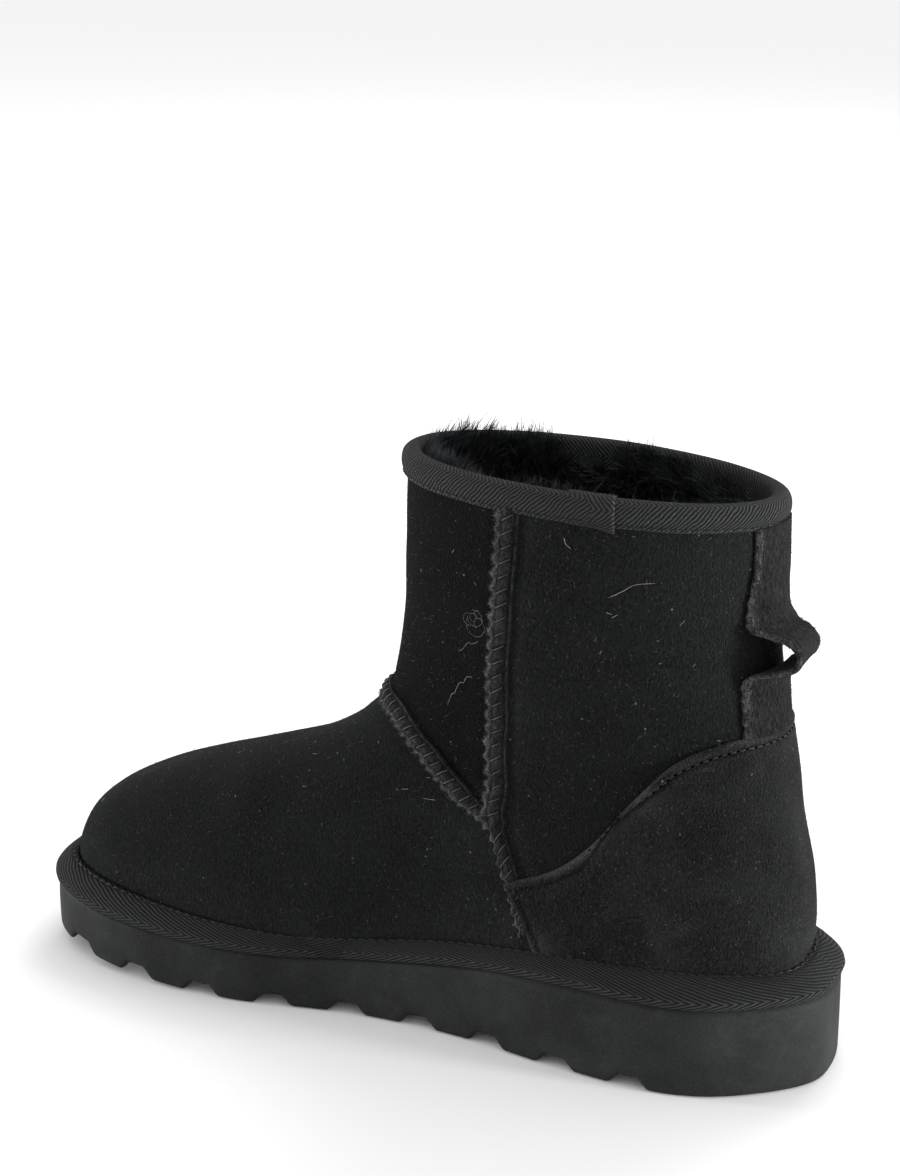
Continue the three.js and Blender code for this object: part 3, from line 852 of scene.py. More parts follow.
def pile_tree():
    """Tapering strands over a surface, leaning along "lay" and gathered into locks."""
    tree, given, made = node_tree("pile", [
        ("Density", FLOAT, 1.0e6), ("Length", FLOAT, 0.009), ("Width", FLOAT, 0.0004),
        ("Lean", FLOAT, 0.8), ("Locks", FLOAT, 0.8), ("Lock Scale", FLOAT, 110.0),
        ("Curl", FLOAT, 0.3), ("Stray", FLOAT, 0.28), ("Segments", WHOLE, 4), ("Seed", WHOLE, 1),
        ("Material", MATERIAL, None),
    ])
    spread = add_node(tree, "GeometryNodeDistributePointsOnFaces", {
        "Mesh": given["Geometry"], "Density": given["Density"], "Seed": given["Seed"],
    }, distribute_method="RANDOM")
    place = tree.nodes.new("GeometryNodeInputPosition").outputs[0]
    swirl = noise(tree, place, given["Lock Scale"], 1.0, output="Color")
    centred = vector_calc(tree, "SUBTRACT", swirl, (0.5, 0.5, 0.5))
    gathering = calc(tree, "MULTIPLY", given["Locks"], 4.0)
    gathered = vector_calc(tree, "SCALE", centred, scale=gathering)
    leaning = vector_calc(tree, "SCALE", painted(tree, "lay"), scale=given["Lean"])
    strays = vector_of(tree, *[random_between(tree, -1.0, 1.0, 11 + k) for k in range(3)])
    stray = vector_calc(tree, "SCALE", strays, scale=given["Stray"])
    aim = vector_calc(tree, "ADD", vector_calc(tree, "ADD", spread.outputs["Normal"], leaning),
                      vector_calc(tree, "ADD", gathered, stray))
    half = calc(tree, "MULTIPLY", given["Length"], 0.5)
    bow = calc(tree, "MULTIPLY", given["Length"], given["Curl"])
    path = add_node(tree, "GeometryNodeCurveQuadraticBezier", {
        "Resolution": given["Segments"], "Start": (0.0, 0.0, 0.0),
        "Middle": vector_of(tree, 0.0, 0.0, half),
        "End": vector_of(tree, bow, 0.0, given["Length"]),
    })
    share = add_node(tree, "GeometryNodeSplineParameter").outputs["Factor"]
    taper = calc(tree, "SUBTRACT", 1.04, share)
    tapered = add_node(tree, "GeometryNodeSetCurveRadius", {
        "Curve": path.outputs[0], "Radius": taper,
    })
    edge = calc(tree, "MULTIPLY", given["Width"], 0.5)
    section = add_node(tree, "GeometryNodeCurvePrimitiveLine", {
        "Start": vector_of(tree, calc(tree, "MULTIPLY", edge, -1.0)), "End": vector_of(tree, edge),
    }, mode="POINTS")
    strand = add_node(tree, "GeometryNodeCurveToMesh", {
        "Curve": tapered.outputs[0], "Profile Curve": section.outputs[0],
    })
    scale_in = [s for s in strand.inputs if s.name == "Scale"]
    if scale_in:
        tree.links.new(taper, scale_in[0])
    angle = random_between(tree, 0.0, 2 * math.pi, 23)
    spin = add_node(tree, "FunctionNodeAxisAngleToRotation", {"Axis": (0, 0, 1), "Angle": angle})
    pointed = add_node(tree, "FunctionNodeAlignRotationToVector", {"Vector": aim}, axis="Z")
    turned = add_node(tree, "FunctionNodeRotateRotation", {
        "Rotation": pointed.outputs[0], "Rotate By": spin.outputs[0],
    }, rotation_space="LOCAL")
    tall = painted(tree, "tall", "FLOAT")
    size = calc(tree, "MULTIPLY", random_between(tree, 0.6, 1.25, 31), tall)
    copies = add_node(tree, "GeometryNodeInstanceOnPoints", {
        "Points": spread.outputs["Points"], "Instance": strand.outputs[0],
        "Rotation": turned.outputs[0], "Scale": vector_of(tree, size, size, size),
    })
    finish_tree(tree, made, copies.outputs[0], given["Material"])
    return tree


TREE_MAKERS = {"stitches": stitch_tree, "pile": pile_tree}


def grow(name, tree_name, mesh, values):
    """Runs a tree on a mesh and keeps the result as a plain mesh piece."""
    tree = bpy.data.node_groups.get(tree_name) or TREE_MAKERS[tree_name]()
    base = bpy.data.objects.new(name + "_base", mesh)
    bpy.context.scene.collection.objects.link(base)
    modifier = base.modifiers.new(tree_name, "NODES")
    modifier.node_group = tree
    sockets = {
        item.name: item.identifier
        for item in tree.interface.items_tree
        if item.item_type == "SOCKET" and item.in_out == "INPUT"
    }
    for key, value in values.items():
        modifier[sockets[key]] = value
    graph = bpy.context.evaluated_depsgraph_get()
    grown = bpy.data.meshes.new_from_object(base.evaluated_get(graph), depsgraph=graph)
    base.modifiers.remove(modifier)
    bpy.data.objects.remove(base)
    grown.name = name
    return link_piece(name, grown, values["Material"])


def fuzz(name, source, slot, least, values):
    """Short fibres on the faces of a piece that are painted as worn."""
    data = source.data
    points = np.empty(len(data.vertices) * 3, np.float32)
    data.vertices.foreach_get("co", points)
    corners = np.empty(len(data.loops), np.int32)
    data.loops.foreach_get("vertex_index", corners)
    worn = np.empty(len(data.vertices), np.float32)
    data.attributes["worn"].data.foreach_get("value", worn)
    faces = corners.reshape(-1, 4)
    faces = faces[worn[faces].min(axis=1) > least]
    base = bpy.data.meshes.new(name)
    base.from_pydata(points.reshape(-1, 3).tolist(), [], faces.tolist())
    paint(base, "tall", np.ones(len(worn)))
    paint(base, "lay", np.zeros((len(worn), 3)))
    shared = {"Lean": 0.0, "Locks": 0.25, "Lock Scale": 300.0, "Curl": 0.35, "Stray": 1.0,
              "Segments": 2}
    keep(grow(name, "pile", base, {**shared, **values}), slot)


def point_mesh(name, points, aims, outwards):
    """Bare points that carry the directions a stitch needs."""
    mesh = bpy.data.meshes.new(name)
    mesh.from_pydata(to_frame(points).tolist(), [], [])
    paint(mesh, "aim", aims)
    paint(mesh, "outward", outwards)
    return mesh


# ---------------------------------------------------------------------------
# Settings
# ---------------------------------------------------------------------------


def size_property(name, text, default):
    return FloatProperty(name=name, description=text, default=default, min=0.0, unit="LENGTH",
                         subtype="DISTANCE", precision=5)


def colour_property(name, text, default):
    return FloatVectorProperty(name=name, description=text, default=default, size=4,
                               subtype="COLOR", min=0.0, max=1.0)


class BootSizes(bpy.types.PropertyGroup):
    """Sizes of the boot's leather, tape, fleece and stitches."""

    leather: size_property("Leather", "Thickness of the leather without its fleece", 0.0026)
    fleece_length: size_property("Fleece", "Length of the fleece's strands", 0.0105)
    seam_width: size_property("Seam width", "Width of the rolled seam bands", 0.0074)
    seam_pitch: size_property("Seam stitch pitch", "Distance between slanted stitches", 0.0046)
    edge_pitch: size_property("Edge stitch pitch", "Distance between stitches at edges", 0.0028)
    thread: size_property("Thread", "Thickness of the sewing thread", 0.00062)
    counter: size_property("Counter", "Thickness of the heel counter", 0.0015)
    loop_width: size_property("Loop width", "Width of the pull loop's strip", 0.021)
    loop_thickness: size_property("Loop thickness", "Thickness of the strip", 0.0022)


class BootColours(bpy.types.PropertyGroup):
    """Base colours of the boot's finishes."""

    suede: colour_property("Suede", "Main suede", (0.0077, 0.0083, 0.0083, 1.0))
    suede_pale: colour_property("Rubbed suede", "Suede where it is rubbed",
                                (0.032, 0.0333, 0.033, 1.0))
    counter: colour_property("Counter", "Suede of the heel counter", (0.0085, 0.0090, 0.0089, 1.0))
    loop: colour_property("Pull loop", "Rough suede of the loop", (0.0093, 0.0098, 0.0097, 1.0))
    raw: colour_property("Raw edge", "Cut leather edges", (0.105, 0.109, 0.105, 1.0))
    tape: colour_property("Tape", "Binding tape", (0.0241, 0.0253, 0.0250, 1.0))
    foam: colour_property("Foam", "Sole foam", (0.0144, 0.0152, 0.0152, 1.0))
    fleece: colour_property("Fleece", "Fleece strands", (0.0186, 0.0202, 0.0218, 1.0))
    thread: colour_property("Thread", "Sewing thread", (0.0125, 0.0132, 0.0132, 1.0))
    lint: colour_property("Lint", "Stray fibres", (0.26, 0.26, 0.24, 1.0))


class BootStage(bpy.types.PropertyGroup):
    """Light and view."""

    azimuth: FloatProperty(name="Azimuth", description="Camera's angle round the boot, in degrees",
                           default=203.2)
    elevation: FloatProperty(name="Elevation", description="Camera's angle above the floor",
                             default=18.1)
    roll: FloatProperty(name="Roll", description="Camera's turn about its line of sight",
                        default=0.5)
    distance: FloatProperty(name="Distance", description="Camera to the boot's middle",
                            default=0.780, unit="LENGTH", subtype="DISTANCE")
    lens: FloatProperty(name="Lens", description="Focal length in millimetres", default=74.99)
    key: FloatProperty(name="Key light", description="Power of the key light", default=44.0)
    sky: FloatProperty(name="Ambient", description="Brightness all round", default=1.15)
    seed: IntProperty(name="Seed", description="Seed of everything scattered", default=7)


def material_of(name):
    """The boot's materials, each made the first time it is asked for."""
    found = bpy.data.materials.get(name)
    if found is not None:
        return found
    c = bpy.context.scene.boot_colours
    makers = {
        "brushed_suede": lambda: suede_material(
            name, c.suede, c.suede_pale, 1600.0, 30.0, 0.35, 0.0002, painted_shade=True),
        "counter_suede": lambda: suede_material(
            name, c.counter, c.suede_pale, 1700.0, 38.0, 0.35, 0.0002, 90.0, 0.3),
        "seam_suede": lambda: suede_material(
            name, c.suede, c.raw, 1300.0, 90.0, 0.3, 0.0002, 260.0),
        # Painted shade: near-black thread for the dots that stand for the shade inside needle holes.
        "needle_hole": lambda: thread_material(name, shade(c.thread, 0.05), 0.0),
        # Painted shade: a darker copy of the sewing thread, for stitches sunk in the tapes' grooves.
        "dark_thread": lambda: thread_material(name, shade(c.thread, 0.45), 0.25),
        "rough_suede": lambda: suede_material(name, c.loop, c.raw, 900.0, 70.0, 0.3, 0.0004, 200.0),
        "raw_edge": lambda: suede_material(name, c.raw, c.raw, 700.0, 160.0, 0.4, 0.0006, 200.0),
        "collar_tape": lambda: tape_material(name, shade(c.tape, 1.18), 1.4, 9.0, 1.0),
        "sole_tape": lambda: tape_material(name, shade(c.tape, 0.9), 3.2, 26.0, 2.0),
        "moulded_foam": lambda: foam_material(name, c.foam),
        "fleece": lambda: fleece_material(name, c.fleece),
        "thread": lambda: thread_material(name, c.thread),
        "lint": lambda: thread_material(name, c.lint, 0.2),
        "stray_fibre": lambda: thread_material(name, shade(c.lint, 0.3), 0.1),
    }
    return makers[name]()


def keep(piece, slot, *nodes):
    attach(piece, BODY)
    if nodes:
        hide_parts(*nodes)
    return piece


def sew(name, slot, points, aims, outwards, length, thickness, rise, seed, material="thread"):
    """One stitch on each point, as a piece."""
    piece = grow(name, "stitches", point_mesh(name, points, aims, outwards), {
        "Length": length, "Thickness": thickness, "Rise": rise, "Seed": seed,
        "Material": material_of(material),
    })
    keep(piece, slot)


# ---------------------------------------------------------------------------
# Shared shaping
# ---------------------------------------------------------------------------


def dot(a, b):
    return np.einsum("...i,...i->...", a, b)


def beside(rises, angles, offsets):
    """Rise and angle at distances across a path on the upper. Positive is its left."""
    surface, up, around, normal = form_frame(rises, angles)
    tangent = unit(np.gradient(surface, axis=0))
    across = unit(np.cross(normal, tangent))
    uu, aa, ua = dot(up, up), dot(around, around), dot(up, around)
    ux, ax = dot(across, up), dot(across, around)
    det = uu * aa - ua * ua
    per_rise = (ux * aa - ax * ua) / det
    per_angle = (ax * uu - ux * ua) / det
    offsets = np.broadcast_to(offsets, (len(rises), np.shape(offsets)[-1]))
    return (
        rises[:, None] + per_rise[:, None] * offsets,
        angles[:, None] + per_angle[:, None] * offsets,
    )


def even_path(rises, angles, spacing):
    """The same path with points every so many millimetres, and the distance of each."""
    walked = run_length(form_point(rises, angles))
    count = max(int(round(walked[-1] / spacing)), 2)
    at = np.linspace(0, walked[-1], count + 1)
    return np.interp(at, walked, rises), np.interp(at, walked, angles), at


def rough(count, seed, *spans):
    """A row of soft random values between -1 and 1, blurred over several spans."""
    rng = np.random.default_rng(seed)
    total = np.zeros(count)
    for span in spans:
        knots = rng.uniform(-1, 1, int(count / span) + 3)
        total += np.interp(np.arange(count) / span, np.arange(len(knots)), knots)
    return total / len(spans)


# Cross-section of a rolled seam: its raw edge is at the left, its roll at the right.
SEAM_PROFILE = {
    "columns": ("across", "height"),
    "rows": np.array([
        (-3.55, -0.9), (-3.5, 0.25), (-3.2, 0.75), (-2.7, 0.85), (-2.25, 0.7), (-1.95, 0.25),
        (-1.7, 0.2), (-1.35, 0.95), (-0.8, 1.5), (-0.1, 1.75), (0.7, 1.7), (1.4, 1.35),
        (2.0, 0.75), (2.4, 0.25), (2.7, 0.3), (2.95, 0.62), (3.3, 0.6), (3.6, 0.25), (3.7, -0.9),
    ]),
}


SEAM_PROFILE_WIDTH = 7.2
SEAM_STEP = 0.42  # distance between a seam's cross-sections
SEAM_FOOT = -0.9  # the band's two edges are tucked this far into the leather
SEAM_UNDERSIDE = -1.3
SEAM_LOW_SHARE = 0.72  # height of the narrowest seam, as a share of a full one
ROLL_MIDDLE = 0.35  # where the stitches sit on the roll


def seam_band(name, rises, angles, toe_side, width, seed, stitch_pitch, slant, raw=1.0):
    """A rolled seam with a raw edge on its toe side. Returns its mesh and its stitches."""
    across, height = SEAM_PROFILE["rows"].T
    rises, angles, at = even_path(rises, angles, SEAM_STEP)
    scale = np.broadcast_to(width, (len(at),)) / SEAM_PROFILE_WIDTH
    fray = rough(len(at), seed, 3, 8)
    coarse = rough(len(at), seed + 5, 2, 3)
    scallop = np.cos((at / stitch_pitch + 0.42) * 2 * np.pi)
    shift = np.where(across < -2.0, 1.0, 0.0)[None, :] * (0.3 * fray - 0.5 * scallop)[:, None]
    offsets = (across[None, :] * scale[:, None] - shift) * -toe_side
    band_rise, band_angle = beside(rises, angles, offsets)
    lean = at[:, None] - across[None, :] * math.tan(slant)
    phase = (lean / stitch_pitch + 0.5) % 1.0 - 0.5
    on_roll = np.exp(-((across - 0.3) / 1.9) ** 4)[None, :]
    groove = np.exp(-((phase * stitch_pitch / 0.55) ** 2)) * on_roll
    pillow = np.cos(phase * 2 * np.pi) * on_roll * 0.22
    edge = np.where((across > -3.54) & (across < -2.0), 1.0, 0.0)[None, :]
    tall = height[None, :] * mix(SEAM_LOW_SHARE, 1.0, np.clip(scale, 0, 1))[:, None]
    tall = tall - 0.95 * groove - pillow
    lobes = 0.5 * np.cos(phase * 2 * np.pi)
    tall = tall + edge * ((0.3 * coarse)[:, None] - lobes * 0.7) * raw
    tall[:, [0, -1]] = SEAM_FOOT
    points = skin_point(band_rise, band_angle, tall)
    underside = skin_point(band_rise, band_angle, SEAM_UNDERSIDE)
    section = np.concatenate([points, underside[:, ::-1]], axis=1)
    worn = np.broadcast_to(np.exp(-((across + 2.75) / 0.85) ** 4) * raw, points.shape[:2])
    worn = worn + 0.2 * np.exp(-((across - 3.2) / 0.35) ** 2) + 0.16 * on_roll
    values = {"worn": np.concatenate([worn, 0 * worn], axis=1)}
    mesh = closed_grid(name, section, "cap", values=values)
    marks = np.arange(stitch_pitch, at[-1] - 1.0, stitch_pitch) + ROLL_MIDDLE * math.tan(slant)
    mark_rise = np.interp(marks, at, rises)
    mark_angle = np.interp(marks, at, angles)
    centre, _, _, normal = form_frame(mark_rise, mark_angle)
    side_rise, side_angle = beside(mark_rise, mark_angle, [ROLL_MIDDLE * -toe_side])
    lift = 0.8 * mix(SEAM_LOW_SHARE, 1.0, np.clip(np.interp(marks, at, scale), 0, 1))
    seat = skin_point(side_rise[:, 0], side_angle[:, 0], lift)
    tangent = unit(np.gradient(centre, axis=0))
    aim = unit(np.cross(normal, tangent)) * -toe_side
    aim = unit(aim * math.cos(slant) + tangent * math.sin(slant))
    return mesh, (seat, aim, normal)


def side_path(side, low, high, count=160):
    rises = np.linspace(low, high, count)
    turned = np.radians(read_table(SIDE_SEAM, rises, "angle"))
    return rises, turned if side > 0 else 2 * np.pi - turned


def vamp_path(count=400):
    turned = np.linspace(83.0, 277.0, count)
    folded = np.minimum(turned, 360 - turned)
    return read_table(VAMP_SEAM, folded, "rise"), np.radians(turned)


# ---------------------------------------------------------------------------
# Operators
# ---------------------------------------------------------------------------


class BootPiece:
    """Shared by every operator that adds a piece of the boot."""

    bl_options = {"REGISTER", "UNDO"}

    def execute(self, context):
        self.build(context.scene.boot_sizes, context.scene.boot_stage.seed)
        return {"FINISHED"}


class BOOT_OT_upper(BootPiece, bpy.types.Operator):
    """Add the suede upper"""

    bl_idname = "boot.upper"
    bl_label = "Upper"

    def build(self, s, seed):
        leather = s.leather / MM
        angles = ring_angles(336)[None, :]
        outer_rise = np.linspace(0.0, UPPER_RIM, 144)[:, None]
        inner_rise = np.linspace(UPPER_RIM, 0.0, 14)[:, None]
        outer = skin_point(outer_rise, angles, 0.0, pulled=True)
        inner = skin_point(inner_rise, angles, -leather, uneven=0.5)
        points = np.concatenate([outer, inner])
        rise = np.broadcast_to(outer_rise, outer.shape[:2])
        turned = np.degrees(np.arccos(np.cos(np.broadcast_to(angles, outer.shape[:2]))))
        seam = np.abs(turned - read_table(SIDE_SEAM, rise, "angle"))
        beside_seam = 0.14 * np.exp(-((seam / 7.5) ** 2))
        low = 0.10 * (1 - smooth_step((rise - 0.05) / 0.1))
        toe = 0.10 * smooth_step((turned - 150) / 30) * (1 - smooth_step((rise - 0.3) / 0.15))
        worn = np.concatenate([beside_seam + low + toe, np.zeros(inner.shape[:2])])
        # Painted shade on the suede panels: darker towards the foot, darkest on the front shaft.
        panel = np.concatenate([painted_panel_shade(rise, turned), np.ones(inner.shape[:2])])
        mesh = closed_grid("upper_suede", points, "ring", values={"worn": worn, "panel": panel})
        keep(link_piece("upper_suede", mesh, material_of("brushed_suede")), "suede", "upper")


# Painted shade on each panel's suede: how bright it is drawn. Two tones are those of its foot and of
# its top.
PANEL_SHADES = {"side": (0.74, 1.04), "front_shaft": (0.06, 0.33), "vamp": 0.92}


def painted_panel_shade(rise, turned):
    """Painted shade: the front shaft panel is drawn the darkest, and the sides darken towards the
    foot.
    """
    ahead = smooth_step((turned - read_table(SIDE_SEAM, rise, "angle")) / 1.5)
    vamp_line = read_table(VAMP_SEAM, np.clip(turned, 82, 180), "rise")
    above = smooth_step((rise - vamp_line) / 0.012)
    high = smooth_step((rise - 0.4) / 0.4)
    side = mix(*PANEL_SHADES["side"], high)
    front = mix(*PANEL_SHADES["front_shaft"], high)
    return mix(side, mix(PANEL_SHADES["vamp"], front, above), ahead)


class BOOT_OT_seams(BootPiece, bpy.types.Operator):
    """Add the rolled seams with their raw edges and slanted stitches"""

    bl_idname = "boot.seams"
    bl_label = "Rolled Seams"

    def build(self, s, seed):
        pitch = s.seam_pitch / MM
        width = s.seam_width / MM
        slant = math.radians(36)
        stitches = []
        for side, label in ((1, "inner"), (-1, "outer")):
            rises, angles = side_path(side, *SIDE_SEAM_ENDS)
            mesh, marks = seam_band("side_seam_" + label, rises, angles, side, width,
                                    seed + side, pitch, slant)
            piece = link_piece("side_seam_" + label, mesh, material_of("seam_suede"))
            self.finish_band(piece, seed + 61 + side)
            stitches.append(marks)
            rises, angles = side_path(side, *LOW_SEAM_ENDS, 60)
            mesh, marks = seam_band("low_seam_" + label, rises, angles, side, width * 0.72,
                                    seed + 3 + side, pitch * 0.86, slant, 0.6)
            keep(link_piece("low_seam_" + label, mesh, material_of("seam_suede")), "suede")
            stitches.append(marks)
        rises, angles = vamp_path()
        rises, angles, at = even_path(rises, angles, SEAM_STEP)
        near_end = np.minimum(at, at[-1] - at)
        taper = width * 0.86 * mix(0.55, 1.0, smooth_step(near_end / 14))
        mesh, marks = seam_band("vamp_seam", rises, angles, 1, taper, seed + 9, 3.6,
                                math.radians(-20))
        self.finish_band(link_piece("vamp_seam", mesh, material_of("seam_suede")), seed + 64)
        stitches.append(marks)
        seat, aim, outward = (np.concatenate(part) for part in zip(*stitches))
        sew("seam_stitches", "suede", seat, aim, outward, 0.0040, s.thread * 0.9, 0.0005, seed)

    def finish_band(self, piece, seed):
        keep(piece, "suede")
        fuzz(piece.name + "_fuzz", piece, "suede", 0.45, {
            "Density": 9.0e6, "Length": 0.0010, "Width": 0.00014, "Seed": seed,
            "Material": material_of("raw_edge"),
        })


def rise_at_line(angles, lowest, highest, line_height, halvings):
    """Rise at each angle where the upper's form meets a line, given its height at each x."""
    low, high = np.full(angles.shape, lowest), np.full(angles.shape, highest)
    for _ in range(halvings):
        middle = (low + high) / 2
        point = form_point(middle, angles)
        over = point[..., 2] > line_height(point[..., 0])
        high = np.where(over, middle, high)
        low = np.where(over, low, middle)
    return (low + high) / 2


def counter_top_rise(angles):
    return rise_at_line(angles, 0.1, 0.75, lambda x: read_table(COUNTER_TOP, x, "z"), 26)


def counter_bottom_rise(angles):
    """The counter's foot is tucked a little way behind the sole's binding."""
    above_sole = BINDING_HEIGHT + COUNTER_LIFT - COUNTER_TUCK
    return rise_at_line(angles, 0.0, 0.3, lambda x: sole_top(x) + above_sole, 22)


def levelness(line):
    """How level a line runs at each of its points: 1 is level and 0 is upright."""
    run = np.gradient(line, axis=0)
    return np.linalg.norm(run[:, :2], axis=1) / np.linalg.norm(run, axis=1)


def counter_place(u, w):
    """Rise and angle inside the counter's outline: u from side to side, w upwards."""
    angle = np.radians(u * mix(COUNTER_FRONT[0], COUNTER_FRONT[1], w))
    bottom, top = counter_bottom_rise(angle), counter_top_rise(angle)
    return mix(bottom, top, w), angle


STITCH_INSET = 2.9  # how far inside the counter's edge its stitches run


class BOOT_OT_counter(BootPiece, bpy.types.Operator):
    """Add the heel counter with its frayed edge and its row of stitches"""

    bl_idname = "boot.counter"
    bl_label = "Heel Counter"

    def build(self, s, seed):
        thick = s.counter / MM
        columns, levels = 250, 68
        u = np.sin(np.linspace(-1, 1, columns) * np.pi / 2 * 0.999)[:, None]
        u = mix(u, np.linspace(-1, 1, columns)[:, None], 0.6)
        w = 1 - (1 - np.linspace(0, 1, levels)[None, :]) ** 1.25
        rise, angle = counter_place(u, w)
        flat = form_point(rise, angle)
        up_edge = run_length(np.swapaxes(flat[:, ::-1], 0, 1)).T[:, ::-1]
        from_start = run_length(flat)
        side_edge = np.minimum(from_start, from_start[-1] - from_start)
        edge = np.minimum(up_edge * levelness(flat[:, -1])[:, None], side_edge)
        fray_top = 0.35 * rough(columns, seed + 2, 2, 5) * RISE_PER_MM_LOW
        rise = rise + fray_top[:, None] * np.exp(-up_edge / 1.2)
        stitch_line = np.exp(-(((edge - STITCH_INSET) / 0.7) ** 2))
        body = thick * (0.35 + 0.65 * np.sqrt(np.clip(edge / 1.1, 0, 1)))
        outward = 0.25 + body - 0.6 * stitch_line
        outward += 0.16 * np.exp(-(((edge - 1.3) / 0.9) ** 2))
        outer = skin_point(rise, angle, outward)
        inner = skin_point(rise, angle, -0.35)
        section = np.concatenate([outer, inner[:, ::-1]], axis=1)
        worn = 0.85 * np.exp(-((edge / 0.9) ** 2)) + 0.4 * np.exp(-edge / 8.0)
        middle_back = np.exp(-((u / 0.22) ** 2)) * np.exp(-(((w - 0.45) / 0.5) ** 2))
        worn = worn + 0.12 * middle_back + 0.2 * np.exp(-((w / 0.35) ** 2))
        worn = worn - 0.3 * stitch_line
        values = {"worn": np.concatenate([worn, 0 * worn], axis=1),
                  "panel": np.ones((columns, 2 * levels))}
        mesh = closed_grid("counter_patch", section, "cap", values=values)
        piece = link_piece("counter_patch", mesh, material_of("counter_suede"))
        keep(piece, "suede", "heel_counter")
        self.add_stitches(s, seed, thick)

    def add_stitches(self, s, seed, thick):
        reach, height, climb, span = 0.955, 0.93, 40, 240
        front = np.linspace(0.0, height, climb)
        u_path = np.concatenate([np.full(climb, -reach), np.linspace(-reach, reach, span),
                                 np.full(climb, reach)])
        w_path = np.concatenate([front, np.full(span, height), front[::-1]])
        rise, angle = counter_place(u_path, w_path)
        top = counter_top_rise(angle)
        along_top = slice(climb, climb + span)
        level = levelness(form_point(top, angle)[along_top])
        rise[along_top] = top[along_top] - STITCH_INSET / level * RISE_PER_MM_LOW
        rises, angles, _ = even_path(rise, angle, s.edge_pitch / MM)
        seat = skin_point(rises, angles, 0.25 + thick - 0.55)
        _, _, _, normal = form_frame(rises, angles)
        aim = unit(np.gradient(seat, axis=0))
        sew("counter_stitches", "suede", seat, aim, normal, 0.0015, s.thread * 0.62, 0.0002,
            seed + 4)
        # Painted shade: near-black dots between the stitches stand for the shade inside the needle
        # holes.
        between = (seat[1:] + seat[:-1]) / 2 + 0.12 * normal[1:]
        sew("counter_holes", "suede", between, aim[1:], normal[1:], 0.0007, 0.0006, 0.0,
            seed + 8, "needle_hole")


# Closed outline of the folded tape: distance below the rim, and outwards from the leather.
COLLAR_SECTION = [
    (6.0, 0.15), (6.2, 0.7), (5.7, 1.25), (4.6, 1.5), (3.0, 1.9), (1.2, 1.9),
    (-0.6, 1.3), (-1.7, 0.0), (-2.0, -1.5), (-1.6, -3.0), (-0.5, -4.1), (1.5, -4.6),
    (4.5, -4.6), (7.4, -4.4), (8.2, -4.0), (7.8, -3.5), (4.5, -3.1), (1.4, -2.6), (0.5, -1.6),
    (1.2, -0.5), (3.4, 0.1),
]
JOINT_SECTION = np.array([
    (7.9, 0.75), (7.2, 1.6), (6.0, 1.9), (4.6, 2.05), (3.0, 2.4), (1.2, 2.45),
    (-0.9, 1.8), (-2.2, 0.1), (-2.5, -1.5), (-2.1, -3.2), (-0.9, -4.6), (1.5, -5.2),
])
COLLAR_STITCH_DROP = 5.2
COLLAR_STITCH_PITCH = 3.1
JOINT_ANGLE = 70.3
JOINT_LENGTH = 14.0


def collar_point(drop, outward, angle):
    inside_rise = 1 - np.maximum(drop, 0) * RISE_PER_MM_COLLAR
    point = skin_point(inside_rise, angle, outward)
    point[..., 2] += np.maximum(-drop, 0)
    return point


